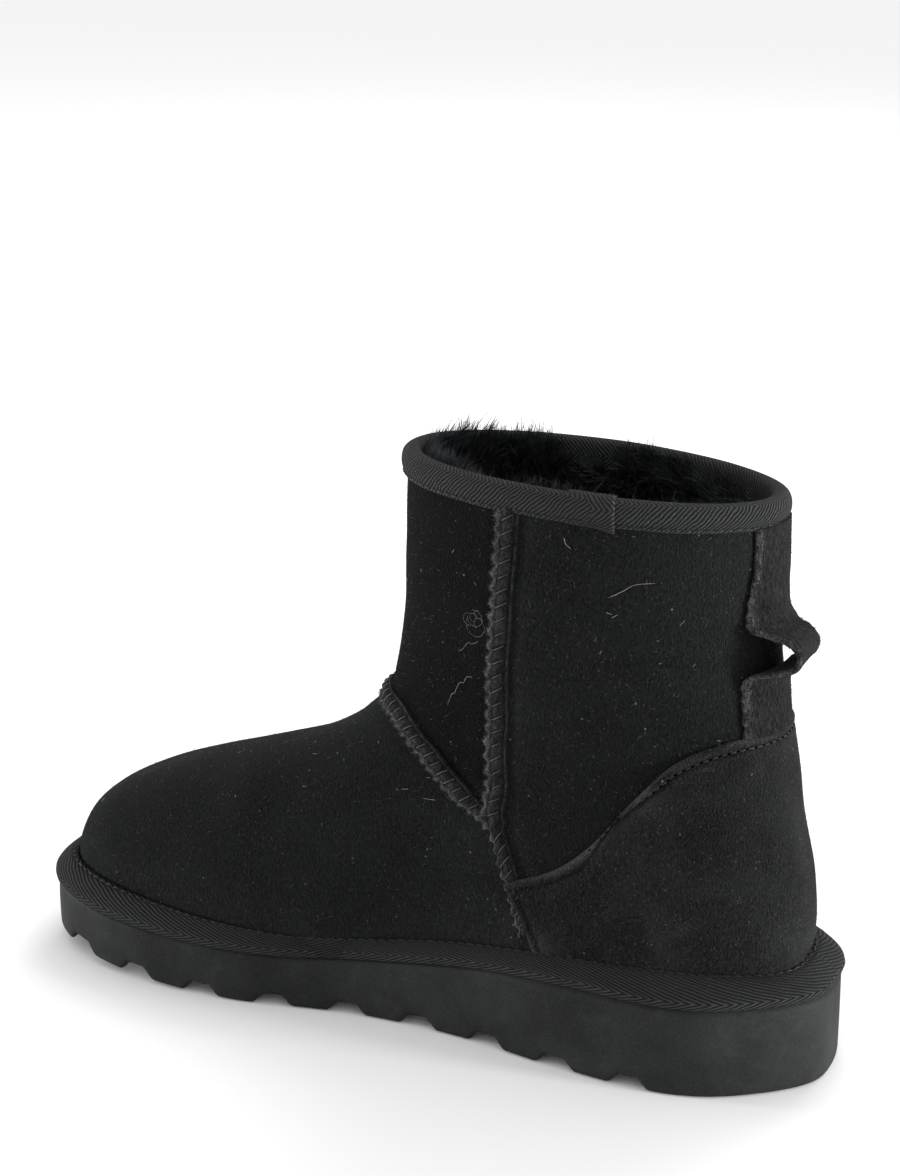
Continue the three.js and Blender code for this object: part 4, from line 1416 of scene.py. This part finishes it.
class BOOT_OT_collar(BootPiece, bpy.types.Operator):
    """Add the collar's twill binding with its overlapped joint"""

    bl_idname = "boot.collar"
    bl_label = "Collar Binding"

    def build(self, s, seed):
        angles = np.linspace(0, 2 * np.pi, 420, endpoint=False)
        section, across = smooth_loop(COLLAR_SECTION, 72)
        wave = 0.22 * rough(421, seed + 21, 9, 25)[:420]
        drop = section[None, :, 0] + wave[:, None] * smooth_step(section[None, :, 0] / 4)
        outward = np.broadcast_to(section[None, :, 1], drop.shape)
        stitch_line = np.exp(-(((section[:, 0] - COLLAR_STITCH_DROP) / 0.5) ** 2))
        stitched = (section[:, 1] > 0.9) * stitch_line
        outward = outward - 0.3 * stitched[None, :]
        points = collar_point(drop, outward, angles[:, None])
        middle = form_point(1.0, np.append(angles, 2 * np.pi))
        around = run_length(middle)
        uv = cloth_uv(around, np.append(across, across[-1] + 0.7))
        worn = np.exp(-(((section[:, 0] - 6.1) / 0.4) ** 2)) * 0.5
        worn = np.broadcast_to(worn[None, :], points.shape[:2])
        mesh = closed_grid("collar_tape", points, "ring", uv, {"worn": worn})
        piece = link_piece("collar_tape", mesh, material_of("collar_tape"))
        keep(piece, "tape", "collar_binding")
        self.add_stitches(s, seed)
        self.add_joint()

    def add_stitches(self, s, seed):
        angles = np.linspace(0, 2 * np.pi, 400)
        rises = np.full(400, 1 - COLLAR_STITCH_DROP * RISE_PER_MM_COLLAR)
        rises, angles, _ = even_path(rises, angles, COLLAR_STITCH_PITCH)
        rises, angles = rises[:-1], angles[:-1]
        seat = skin_point(rises, angles, 1.15)
        _, _, around, normal = form_frame(rises, angles)
        # Painted shade: these stitches use the darker, shaded copy of the thread.
        sew("collar_stitches", "tape", seat, unit(around), normal, 0.0024, s.thread * 0.85,
            0.00028, seed + 5, "dark_thread")

    def add_joint(self):
        """The tape's free end lies over its start and hangs a little below the edge."""
        start = math.radians(JOINT_ANGLE)
        per_mm = 1 / float(np.linalg.norm(form_frame(0.96, start)[2]))
        along = np.linspace(0, 1, 26)
        path, steps = JOINT_SECTION, 46
        fine = np.linspace(0, len(path) - 1, steps)
        drop, outward = (np.interp(fine, np.arange(len(path)), path[:, k]) for k in (0, 1))
        angle = start + along[:, None] * JOINT_LENGTH * per_mm
        lift = np.exp(-along / 0.07) * 0.3
        settle = 0.9 * smooth_step(along / 0.9)
        hang = 1 - 0.3 * smooth_step(along / 0.5)
        low = np.where(drop[None, :] > 5, 5 + (drop[None, :] - 5) * hang[:, None], drop[None, :])
        raised = outward[None, :] + (lift - settle)[:, None]
        top = collar_point(low, raised, angle)
        under = collar_point(low * 0.97, outward[None, :] - 1.1, angle)
        section = np.concatenate([top, under[:, ::-1]], axis=1)
        worn = np.zeros(section.shape[:2])
        worn[:2, :steps] = 0.8
        worn[:, :2] = 0.6
        across = run_length(path)[-1] * np.linspace(0, 1, steps)
        whole = np.concatenate([across, across[::-1], across[:1]])
        uv = cloth_uv(along * JOINT_LENGTH, whole)
        mesh = closed_grid("collar_joint", section, "cap", uv, {"worn": worn})
        keep(link_piece("collar_joint", mesh, material_of("collar_tape")), "tape")


# Closed outline of the rolled tape, as shares of its reach and of its height.
SOLE_TAPE_SECTION = [
    (0.00, 0.0), (0.00, 0.50), (0.02, 0.95), (0.10, 1.12), (0.30, 1.08), (0.52, 0.96),
    (0.72, 0.80), (0.88, 0.58), (0.98, 0.33), (0.985, 0.08), (0.90, 0.0), (0.50, 0.0),
]


SOLE_TAPE_OVERHANG = {"heel": 2.2, "toe": 1.2}
SOLE_TAPE_WIDTH = 11.0
SOLE_STITCH_SHARE = 0.21  # how far out on the tape its stitches run
SOLE_STITCH_PITCH = 3.4


def sole_tape_point(outward, height, angle):
    """outward runs from the upper (0) to the tape's outer edge (1)."""
    lift = height * BINDING_HEIGHT
    inner = skin_point(lift * RISE_PER_MM_LOW, angle, GAP)
    along = (1 - np.cos(angle)) / 2
    overhang = mix(SOLE_TAPE_OVERHANG["heel"], SOLE_TAPE_OVERHANG["toe"], along)
    edge = sole_edge(angle)
    across = edge - inner[..., :2]
    reach = np.linalg.norm(across, axis=-1) + overhang - SOLE_FLARE * (1 - along)
    point = inner.copy()
    point[..., :2] += unit(across) * (outward * reach)[..., None]
    point[..., 2] = sole_top(point[..., 0]) + SEAT + lift
    return point


class BOOT_OT_sole_tape(BootPiece, bpy.types.Operator):
    """Add the twill binding that covers the joint of upper and sole"""

    bl_idname = "boot.sole_tape"
    bl_label = "Sole Binding"

    def build(self, s, seed):
        angles = ring_angles(560)
        section, across = smooth_loop(SOLE_TAPE_SECTION, 40)
        wave = 0.02 * rough(560, seed + 31, 6, 17)
        outward = section[None, :, 0] + wave[:, None] * section[None, :, 0]
        height = section[None, :, 1] - 0.10 * np.exp(-(((section[None, :, 0] - 0.2) / 0.05) ** 2))
        outward, height = np.broadcast_arrays(outward, height)
        points = sole_tape_point(outward, np.maximum(height, 0), angles[:, None])
        rim = sole_edge(np.append(angles, 2 * np.pi))
        around = run_length(rim)
        across_mm = np.append(across, 2 * across[-1] - across[-2]) * SOLE_TAPE_WIDTH
        uv = cloth_uv(around, across_mm)
        worn = np.exp(-(((section[:, 0] - 0.98) / 0.05) ** 2)) * 0.35
        worn = np.broadcast_to(worn[None, :], points.shape[:2])
        mesh = closed_grid("sole_tape", points, "ring", uv, {"worn": worn})
        piece = link_piece("sole_tape", mesh, material_of("sole_tape"))
        keep(piece, "tape", "sole_binding")
        self.add_stitches(s, seed)

    def add_stitches(self, s, seed):
        turn = ring_angles(1200)
        line = sole_tape_point(np.full(1200, SOLE_STITCH_SHARE), np.full(1200, 1.02), turn)
        walked = run_length(line)
        marks = np.arange(1.0, walked[-1], SOLE_STITCH_PITCH)
        angles = np.interp(marks, walked, turn)
        share = np.full(len(angles), SOLE_STITCH_SHARE)
        seat = sole_tape_point(share, np.full(len(angles), 1.035), angles)
        aim = unit(np.gradient(seat, axis=0))
        outward = np.tile((0.0, 0.0, 1.0), (len(angles), 1))
        # Painted shade: these stitches use the darker, shaded copy of the thread.
        sew("sole_stitches", "tape", seat, aim, outward, 0.0027, s.thread * 0.9, 0.00035,
            seed + 6, "dark_thread")


class BOOT_OT_sole(BootPiece, bpy.types.Operator):
    """Add the moulded foam sole"""

    bl_idname = "boot.sole"
    bl_label = "Foam Sole"

    def build(self, s, seed):
        along = (1 - np.cos(np.linspace(0, np.pi, 420))) / 2
        x = along * SOLE_LENGTH
        medial = sole_half_width(along, "medial")[:, None]
        lateral = sole_half_width(along, "lateral")[:, None]
        edge = np.minimum(SOLE_EDGE, medial / 2)
        flare = np.minimum(SOLE_FLARE * (1 - along)[:, None], medial / 3)
        bottom = (toe_spring(x) + groove_height(x))[:, None]
        top = sole_top(x)[:, None]

        def flat(inset, level, shares):
            wide = mix(inset - lateral, medial - inset, shares)
            return np.stack([wide, np.broadcast_to(level, wide.shape)], -1)

        def corner(half, turned):
            out = half - edge + edge * np.sin(turned)
            return np.stack([out, bottom + edge * (1 - np.cos(turned))], -1)

        def wall(half, climb):
            out = half - flare * climb + SOLE_BULGE * np.sin(climb * np.pi)
            return np.stack([out, mix(bottom + edge, top, climb)], -1)

        across = np.linspace(0, 1, 16)
        bevel = np.linspace(0, np.pi / 2, 7)[1:]
        climb = np.linspace(0, 1, 9)[1:]
        mirrored = np.array([-1, 1])
        section = np.concatenate([
            flat(edge, bottom, across), corner(medial, bevel), wall(medial, climb),
            flat(flare, top, (1 - across)[1:]), wall(lateral, climb[-2::-1]) * mirrored,
            corner(lateral, bevel[::-1]) * mirrored,
        ], axis=1)
        lengthwise = np.broadcast_to(x[:, None, None], section[..., :1].shape)
        points = np.concatenate([lengthwise, section], -1)
        mesh = closed_grid("foam_sole", points, "cap")
        keep(link_piece("foam_sole", mesh, material_of("moulded_foam")), "foam", "outsole")


def back_surface(y, z):
    """x of the shaft's back at a height and a distance from the middle."""
    rise, angle = np.full(np.shape(y), 0.6), np.zeros(np.shape(y))
    for _ in range(30):
        point = form_point(rise, angle)
        rise = rise + (z - point[..., 2]) * 0.004
        angle = angle + (y - point[..., 1]) * 0.006
    return form_point(rise, angle)[..., 0]


class BOOT_OT_pull_loop(BootPiece, bpy.types.Operator):
    """Add the suede pull loop at the back of the shaft"""

    bl_idname = "boot.pull_loop"
    bl_label = "Pull Loop"

    def build(self, s, seed):
        width, thick = s.loop_width / MM, s.loop_thickness / MM
        rows = PULL_LOOP["rows"]
        knots = np.arange(len(rows), dtype=float)
        table = {"columns": ("at", "off", "z"), "rows": np.column_stack([knots, rows])}
        at = np.linspace(0, knots[-1], 190)
        off, z = read_table(table, at, "off"), read_table(table, at, "z")
        run = unit(np.stack([np.gradient(off), np.gradient(z)], -1))
        free = smooth_step(off / 5.0 - 0.4)
        middle = mix(PULL_LOOP_MIDDLE[0], PULL_LOOP_MIDDLE[1], at / knots[-1])
        middle = middle - LOOP_DRIFT * smooth_step((z - LOOP_DRIFT_START) / LOOP_DRIFT_RUN)
        across = np.linspace(-0.5, 0.5, 34)[None, :]
        ragged = 0.028 * rough(len(at), seed + 41, 2, 5)[:, None] * np.sign(across)
        ragged = ragged * smooth_step((np.abs(across) - 0.4) / 0.1)
        flare = 1.5 * np.exp(-(((off - 3.4) / 1.7) ** 2))[:, None]
        y = middle[:, None] + width * (across + ragged) + flare * (2 * across) ** 3
        z_grid = np.broadcast_to(z[:, None], y.shape)
        lying = back_surface(y, z_grid)
        standing = back_surface(middle, z)[:, None]
        back = mix(lying, standing, free[:, None])
        curl = 0.9 * free[:, None] * np.abs(across * 2) ** 3
        thin = np.sqrt(np.clip(1 - (np.abs(across) * 2) ** 14, 0.12, 1))
        wrinkle = 0.28 * rough(len(at), seed + 43, 9, 21)[:, None] * (0.4 + np.abs(across))

        def face(side):
            half = side * thick / 2 * thin + wrinkle
            x = back - off[:, None] - curl * 0.3 + half * run[:, 1:2]
            return np.stack([x, y, z_grid + half * run[:, 0:1] - 0.5 * curl], -1)

        section = np.concatenate([face(-1), face(1)[:, ::-1]], axis=1)
        edge_share = np.exp(-((0.5 - np.abs(across)) / 0.05) ** 2)
        worn = np.broadcast_to(0.03 + 0.42 * edge_share, y.shape)
        values = {"worn": np.concatenate([worn, worn[:, ::-1]], axis=1)}
        mesh = closed_grid("loop_strip", section, "cap", values=values)
        piece = link_piece("loop_strip", mesh, material_of("rough_suede"))
        keep(piece, "loop_suede", "pull_loop")
        fuzz("loop_fuzz", piece, "loop_suede", 0.1, {
            "Density": 1.5e6, "Length": 0.0010, "Width": 0.00016, "Seed": seed + 60,
            "Material": material_of("rough_suede"),
        })


FLEECE_ROOT = 1.6  # how far behind the leather the strands start
FOOTBED_INSET = 9.6
FOOTBED_MIDDLE_X = 132.0

RIM_TUFTS = {
    "columns": ("angle", "half_width", "height"),
    "rows": np.array([
        (206, 24, 1.0), (232, 16, 0.85), (176, 16, 0.72), (140, 26, 0.6), (92, 18, 0.42),
        (275, 10, 0.85), (287, 7, 0.6), (40, 24, 0.34),
    ]),
}


def tuft_height(degrees):
    """How tall the fleece stands over the collar's inner tape at each angle."""
    height = np.zeros(np.shape(degrees))
    for middle, half_width, tallest in RIM_TUFTS["rows"]:
        away = (degrees - middle + 180) % 360 - 180
        height = np.maximum(height, tallest * np.exp(-((away / half_width) ** 4)))
    return height


class BOOT_OT_fleece(BootPiece, bpy.types.Operator):
    """Add the fleece that lines the shaft and foot, and the fleece footbed"""

    bl_idname = "boot.fleece"
    bl_label = "Fleece"

    def build(self, s, seed):
        leather = s.leather / MM
        angles = ring_angles(128)[None, :]
        rises = np.linspace(0.006, 0.93, 32)[:, None]
        near = skin_point(rises, angles, -leather - 0.05, uneven=0.5)
        far = skin_point(rises[::-1], angles, -leather - 2.0, uneven=0.5)
        mesh = closed_grid("fleece_bed", np.concatenate([near, far]), "ring")
        keep(link_piece("fleece_bed", mesh, material_of("fleece")), "fur")
        material = material_of("fleece")
        high = {"Density": 2.7e6, "Length": s.fleece_length, "Width": 0.00052, "Lean": 0.7,
                "Locks": 0.9, "Lock Scale": 110.0, "Curl": 0.28, "Stray": 0.28, "Segments": 4,
                "Seed": seed + 50, "Material": material}
        deep = dict(high, Density=6.5e5, Width=0.0009, Segments=2, Seed=seed + 51)
        rim = dict(high, Density=4.4e6, Width=0.00038, Lean=1.3, Locks=0.45, Seed=seed + 52)
        root = leather + FLEECE_ROOT
        self.add_pile("fleece_collar", 0.85, 0.955, high, root)
        self.add_pile("fleece_shaft", 0.58, 0.86, deep, root)
        self.add_pile("fleece_rim", 0.945, 1.0, rim, 4.5, tuft_height)
        self.add_footbed()

    def add_pile(self, name, low, high, values, depth, height_at=None):
        angles = ring_angles(160)
        rises = np.linspace(low, high, 14)
        points = skin_point(rises[:, None], angles[None, :], -depth, uneven=0.5)
        rows, columns = points.shape[:2]
        i, j = np.meshgrid(np.arange(rows - 1), np.arange(columns), indexing="ij")
        i, j, k = i.ravel(), j.ravel(), (j.ravel() + 1) % columns
        faces = np.stack([i * columns + k, i * columns + j, (i + 1) * columns + j,
                          (i + 1) * columns + k], -1)
        first = points.reshape(-1, 3)[faces[0]]
        facing = np.cross(first[1] - first[0], first[2] - first[0])
        if dot(facing, points.mean(axis=(0, 1)) - first[0]) < 0:
            faces = faces[:, ::-1]
        lay = np.zeros(points.shape)
        lay[..., 2] = 1.0
        tall = np.ones(points.shape[:2])
        if height_at is not None:
            tall = np.broadcast_to(height_at(np.degrees(angles) % 360)[None, :], tall.shape)
            faces = faces[tall.ravel()[faces].min(axis=1) > 0.12]
        mesh = bpy.data.meshes.new(name)
        mesh.from_pydata(to_frame(points.reshape(-1, 3)).tolist(), [], faces.tolist())
        paint(mesh, "lay", lay.reshape(-1, 3))
        paint(mesh, "tall", tall.ravel())
        keep(grow(name, "pile", mesh, values), "fur")

    def add_footbed(self):
        shares = np.linspace(1, 0.02, 20)
        outline = skin_point(0.02, ring_angles(112), -FOOTBED_INSET, uneven=0.0)
        rows = []
        for share in shares:
            ring = outline.copy()
            ring[:, 1] = outline[:, 1] * share
            ring[:, 0] = mix(FOOTBED_MIDDLE_X, outline[:, 0], mix(1.0, share, 0.92))
            rows.append(ring)
        top = np.array(rows)
        rounded = 6.0 - 3.0 * np.exp(-(1 - shares) * 30)[:, None]
        tuft = 0.7 * np.sin(top[..., 0] / 5.1) * np.sin(top[..., 1] / 4.3 + 1)
        top[..., 2] = sole_top(top[..., 0]) + SEAT + rounded + tuft * (shares < 0.97)[:, None]
        under = top[::-1].copy()
        under[..., 2] = sole_top(under[..., 0]) + SEAT
        mesh = closed_grid("footbed", np.concatenate([top, under]), "ring")
        piece = link_piece("footbed", mesh, material_of("fleece"))
        keep(piece, "fur", "insole")


# Each stray hair's thickness in thousandths of a millimetre and its path over the suede.
LINT_PIECES = {
    "columns": ("thickness_um", "path of rise and angle"),
    "rows": (
        (55, ((0.840, 72.0), (0.853, 67.9), (0.864, 64.9), (0.868, 62.5), (0.871, 58.0))),
        (40, ((0.735, 113.0), (0.728, 115.5), (0.729, 117.0), (0.715, 119.4), (0.712, 121.0))),
        (50, ((0.676, 114.8), (0.674, 117.0), (0.664, 118.2), (0.662, 119.8), (0.645, 121.6),
              (0.640, 122.9), (0.622, 123.8))),
        (60, ((0.933, 85.0), (0.923, 84.5), (0.916, 83.0))),
    ),
}
LINT_TANGLE = np.array([0.772, 114.5])  # rise and angle of a knot of stray hair
TANGLE_HAIRS = 6
LOOSE_HAIRS = 70


class BOOT_OT_lint(BootPiece, bpy.types.Operator):
    """Add the stray hairs and scraps of lint that cling to the suede"""

    bl_idname = "boot.lint"
    bl_label = "Lint"

    def build(self, s, seed):
        rng = np.random.default_rng(seed + 70)
        strands = [(thick / 1000, np.array(path)) for thick, path in LINT_PIECES["rows"]]
        for _ in range(LOOSE_HAIRS):
            rise, angle = rng.uniform(0.12, 0.9), rng.uniform(0, 360)
            if abs(angle - 180) > 150 and rise < 0.62:
                continue
            turn, length = rng.uniform(0, 6.28), rng.uniform(0.5, 1.8)
            step = np.array([math.sin(turn) * RISE_PER_MM_LOW, math.cos(turn) * 1.6]) * length
            bend = rng.uniform(-0.4, 0.4) * step[::-1] * (0.004, 250)
            start = np.array([rise, angle])
            strands.append((0.05, np.array([start, start + step / 2 + bend * 0.02, start + step])))
        for _ in range(TANGLE_HAIRS):
            sweep = np.linspace(0, rng.uniform(3.5, 6.0), 12) + rng.uniform(0, 6.28)
            reach = rng.uniform(0.9, 2.4) * np.linspace(1, rng.uniform(0.5, 1.2), 12)
            middle = LINT_TANGLE + rng.normal(0, 1, 2) * (0.009, 1.3)
            turned = np.stack([np.sin(sweep) * RISE_PER_MM_LOW, np.cos(sweep) * 1.4], -1)
            strands.append((0.024, middle + reach[:, None] * turned))
        points, faces = [], []
        for thick, path in strands:
            self.add_tube(points, faces, thick, path)
        mesh = mesh_from("lint", np.concatenate(points), np.concatenate(faces))
        keep(link_piece("lint", mesh, material_of("lint")), "suede")
        upper = bpy.data.objects["upper_suede"]
        fibre = {"Stray": 1.2, "Locks": 0.0, "Material": material_of("stray_fibre")}
        fuzz("suede_fuzz", upper, "suede", -1.0, dict(fibre, **{
            "Density": 1.6e5, "Length": 0.0011, "Width": 0.00011, "Seed": seed + 71,
        }))
        counter = bpy.data.objects["counter_patch"]
        fuzz("counter_fuzz", counter, "suede", 0.02, dict(fibre, **{
            "Density": 3.5e5, "Length": 0.0008, "Width": 0.00011, "Seed": seed + 72,
        }))

    def add_tube(self, points, faces, thick, path):
        """A square thread with both ends closed, lying on the suede."""
        fine = np.linspace(0, len(path) - 1, 6 * len(path))
        knots = np.arange(len(path))
        table = {"columns": ("at", "rise", "angle"), "rows": np.column_stack([knots, path])}
        rise, angle = read_table(table, fine, "rise"), read_table(table, fine, "angle")
        line = skin_point(rise, np.radians(angle), 0.12 + thick)
        _, _, _, normal = form_frame(rise, np.radians(angle))
        side = unit(np.cross(normal, np.gradient(line, axis=0)))
        taper = np.minimum(1, np.minimum(fine + 0.15, fine[-1] - fine + 0.15) * 2)[:, None]
        half = thick * taper
        ring = [line + half * side, line + half * normal, line - half * side, line - half * normal]
        tube = np.stack(ring, axis=1)
        base = sum(len(p) for p in points)
        i = np.arange(len(fine) - 1)[:, None] * 4 + np.arange(4)[None, :]
        k = np.arange(len(fine) - 1)[:, None] * 4 + (np.arange(4)[None, :] + 1) % 4
        quads = np.stack([i, k, k + 4, i + 4], -1).reshape(-1, 4)
        last = 4 * (len(fine) - 1)
        ends = np.array([[0, 3, 2, 1], [last, last + 1, last + 2, last + 3]])
        points.append(tube.reshape(-1, 3))
        faces.append(np.vstack([quads, ends]) + base)


AIM_POINT = (134.0, 0.0, 90.0)  # the boot's middle, which the camera turns about
AIM_OFF = (0.0044, 0.0444)  # metres to the right of it and above it, in the picture
FLOOR_HALF = 6.0
# Name, place, share of the key light's power, and size in metres.
LAMPS = (
    ("heel_side", (-1.6, -0.1, 0.14), 1.0, 0.24),
    ("toe_side", (1.5, 0.4, 0.14), 0.5, 0.24),
    ("far_side", (0.0, -1.3, 1.5), 0.4, 1.0),
)


class BOOT_OT_stage(bpy.types.Operator):
    """Add the floor, the soft light and the camera"""

    bl_idname = "boot.stage"
    bl_label = "Stage"
    bl_options = {"REGISTER", "UNDO"}

    def execute(self, context):
        stage = context.scene.boot_stage
        self.add_floor()
        self.add_light(context.scene, stage)
        self.add_camera(context.scene, stage)
        context.scene.view_settings.view_transform = "Standard"
        context.scene.view_settings.look = "None"
        return {"FINISHED"}

    def add_floor(self):
        half = FLOOR_HALF
        corners = [(-half, -half, 0), (half, -half, 0), (half, half, 0), (-half, half, 0)]
        mesh = bpy.data.meshes.new("floor")
        mesh.from_pydata(corners, [], [(0, 1, 2, 3)])
        material, _, _ = new_material("floor", Roughness=0.9, Specular_IOR_Level=0.1,
                                      Base_Color=(0.78, 0.78, 0.78, 1.0))
        link_piece("floor", mesh, material, smooth=False)

    def add_light(self, scene, stage):
        world = bpy.data.worlds.new("studio")
        scene.world = world
        world.use_nodes = True
        background = world.node_tree.nodes["Background"]
        background.inputs["Color"].default_value = (1.0, 1.0, 1.0, 1.0)
        background.inputs["Strength"].default_value = stage.sky
        for name, place, share, size in LAMPS:
            lamp = bpy.data.lights.new(name, "AREA")
            lamp.energy = stage.key * share
            lamp.size = size
            lamp_object = bpy.data.objects.new(name, lamp)
            scene.collection.objects.link(lamp_object)
            aim = Vector((0.0, 0.0, 0.08)) - Vector(place)
            lamp_object.location = place
            lamp_object.rotation_euler = aim.to_track_quat("-Z", "Y").to_euler()

    def add_camera(self, scene, stage):
        azimuth, elevation = math.radians(stage.azimuth), math.radians(stage.elevation)
        roll = math.radians(stage.roll)
        flat = math.cos(elevation)
        back = Vector((math.sin(azimuth) * flat, -math.cos(azimuth) * flat, math.sin(elevation)))
        right = Vector((math.cos(azimuth), math.sin(azimuth), 0.0))
        up = back.cross(right)
        right, up = (
            math.cos(roll) * right + math.sin(roll) * up,
            math.cos(roll) * up - math.sin(roll) * right,
        )
        target = Vector(to_frame(AIM_POINT)) + right * AIM_OFF[0] + up * AIM_OFF[1]
        place = target + back * stage.distance
        camera = bpy.data.cameras.new("camera")
        camera.lens = stage.lens
        camera.sensor_width = 36.0
        camera.clip_end = 50.0
        turned = Matrix((right, up, back)).transposed().to_4x4()
        camera_object = bpy.data.objects.new("camera", camera)
        scene.collection.objects.link(camera_object)
        camera_object.matrix_world = Matrix.Translation(place) @ turned
        scene.camera = camera_object


PIECES = (
    BOOT_OT_sole,
    BOOT_OT_sole_tape,
    BOOT_OT_upper,
    BOOT_OT_seams,
    BOOT_OT_counter,
    BOOT_OT_collar,
    BOOT_OT_pull_loop,
    BOOT_OT_fleece,
    BOOT_OT_lint,
    BOOT_OT_stage,
)


class BOOT_PT_build(bpy.types.Panel):
    """Build the boot piece by piece"""

    bl_idname = "BOOT_PT_build"
    bl_label = "Boot"
    bl_space_type = "VIEW_3D"
    bl_region_type = "UI"
    bl_category = "Boot"

    def draw(self, context):
        layout = self.layout
        for group in (context.scene.boot_sizes, context.scene.boot_colours,
                      context.scene.boot_stage):
            column = layout.column(align=True)
            for name in type(group).__annotations__:
                column.prop(group, name)
        column = layout.column(align=True)
        for piece in PIECES:
            column.operator(piece.bl_idname)


CLASSES = (BootSizes, BootColours, BootStage, *PIECES, BOOT_PT_build)


def register():
    for item in CLASSES:
        bpy.utils.register_class(item)
    bpy.types.Scene.boot_sizes = PointerProperty(type=BootSizes)
    bpy.types.Scene.boot_colours = PointerProperty(type=BootColours)
    bpy.types.Scene.boot_stage = PointerProperty(type=BootStage)


def unregister():
    del bpy.types.Scene.boot_stage
    del bpy.types.Scene.boot_colours
    del bpy.types.Scene.boot_sizes
    for item in reversed(CLASSES):
        bpy.utils.unregister_class(item)


def main():
    register()
    for piece in PIECES:
        group, name = piece.bl_idname.split(".")
        getattr(getattr(bpy.ops, group), name)()


if __name__ == "__main__":
    main()
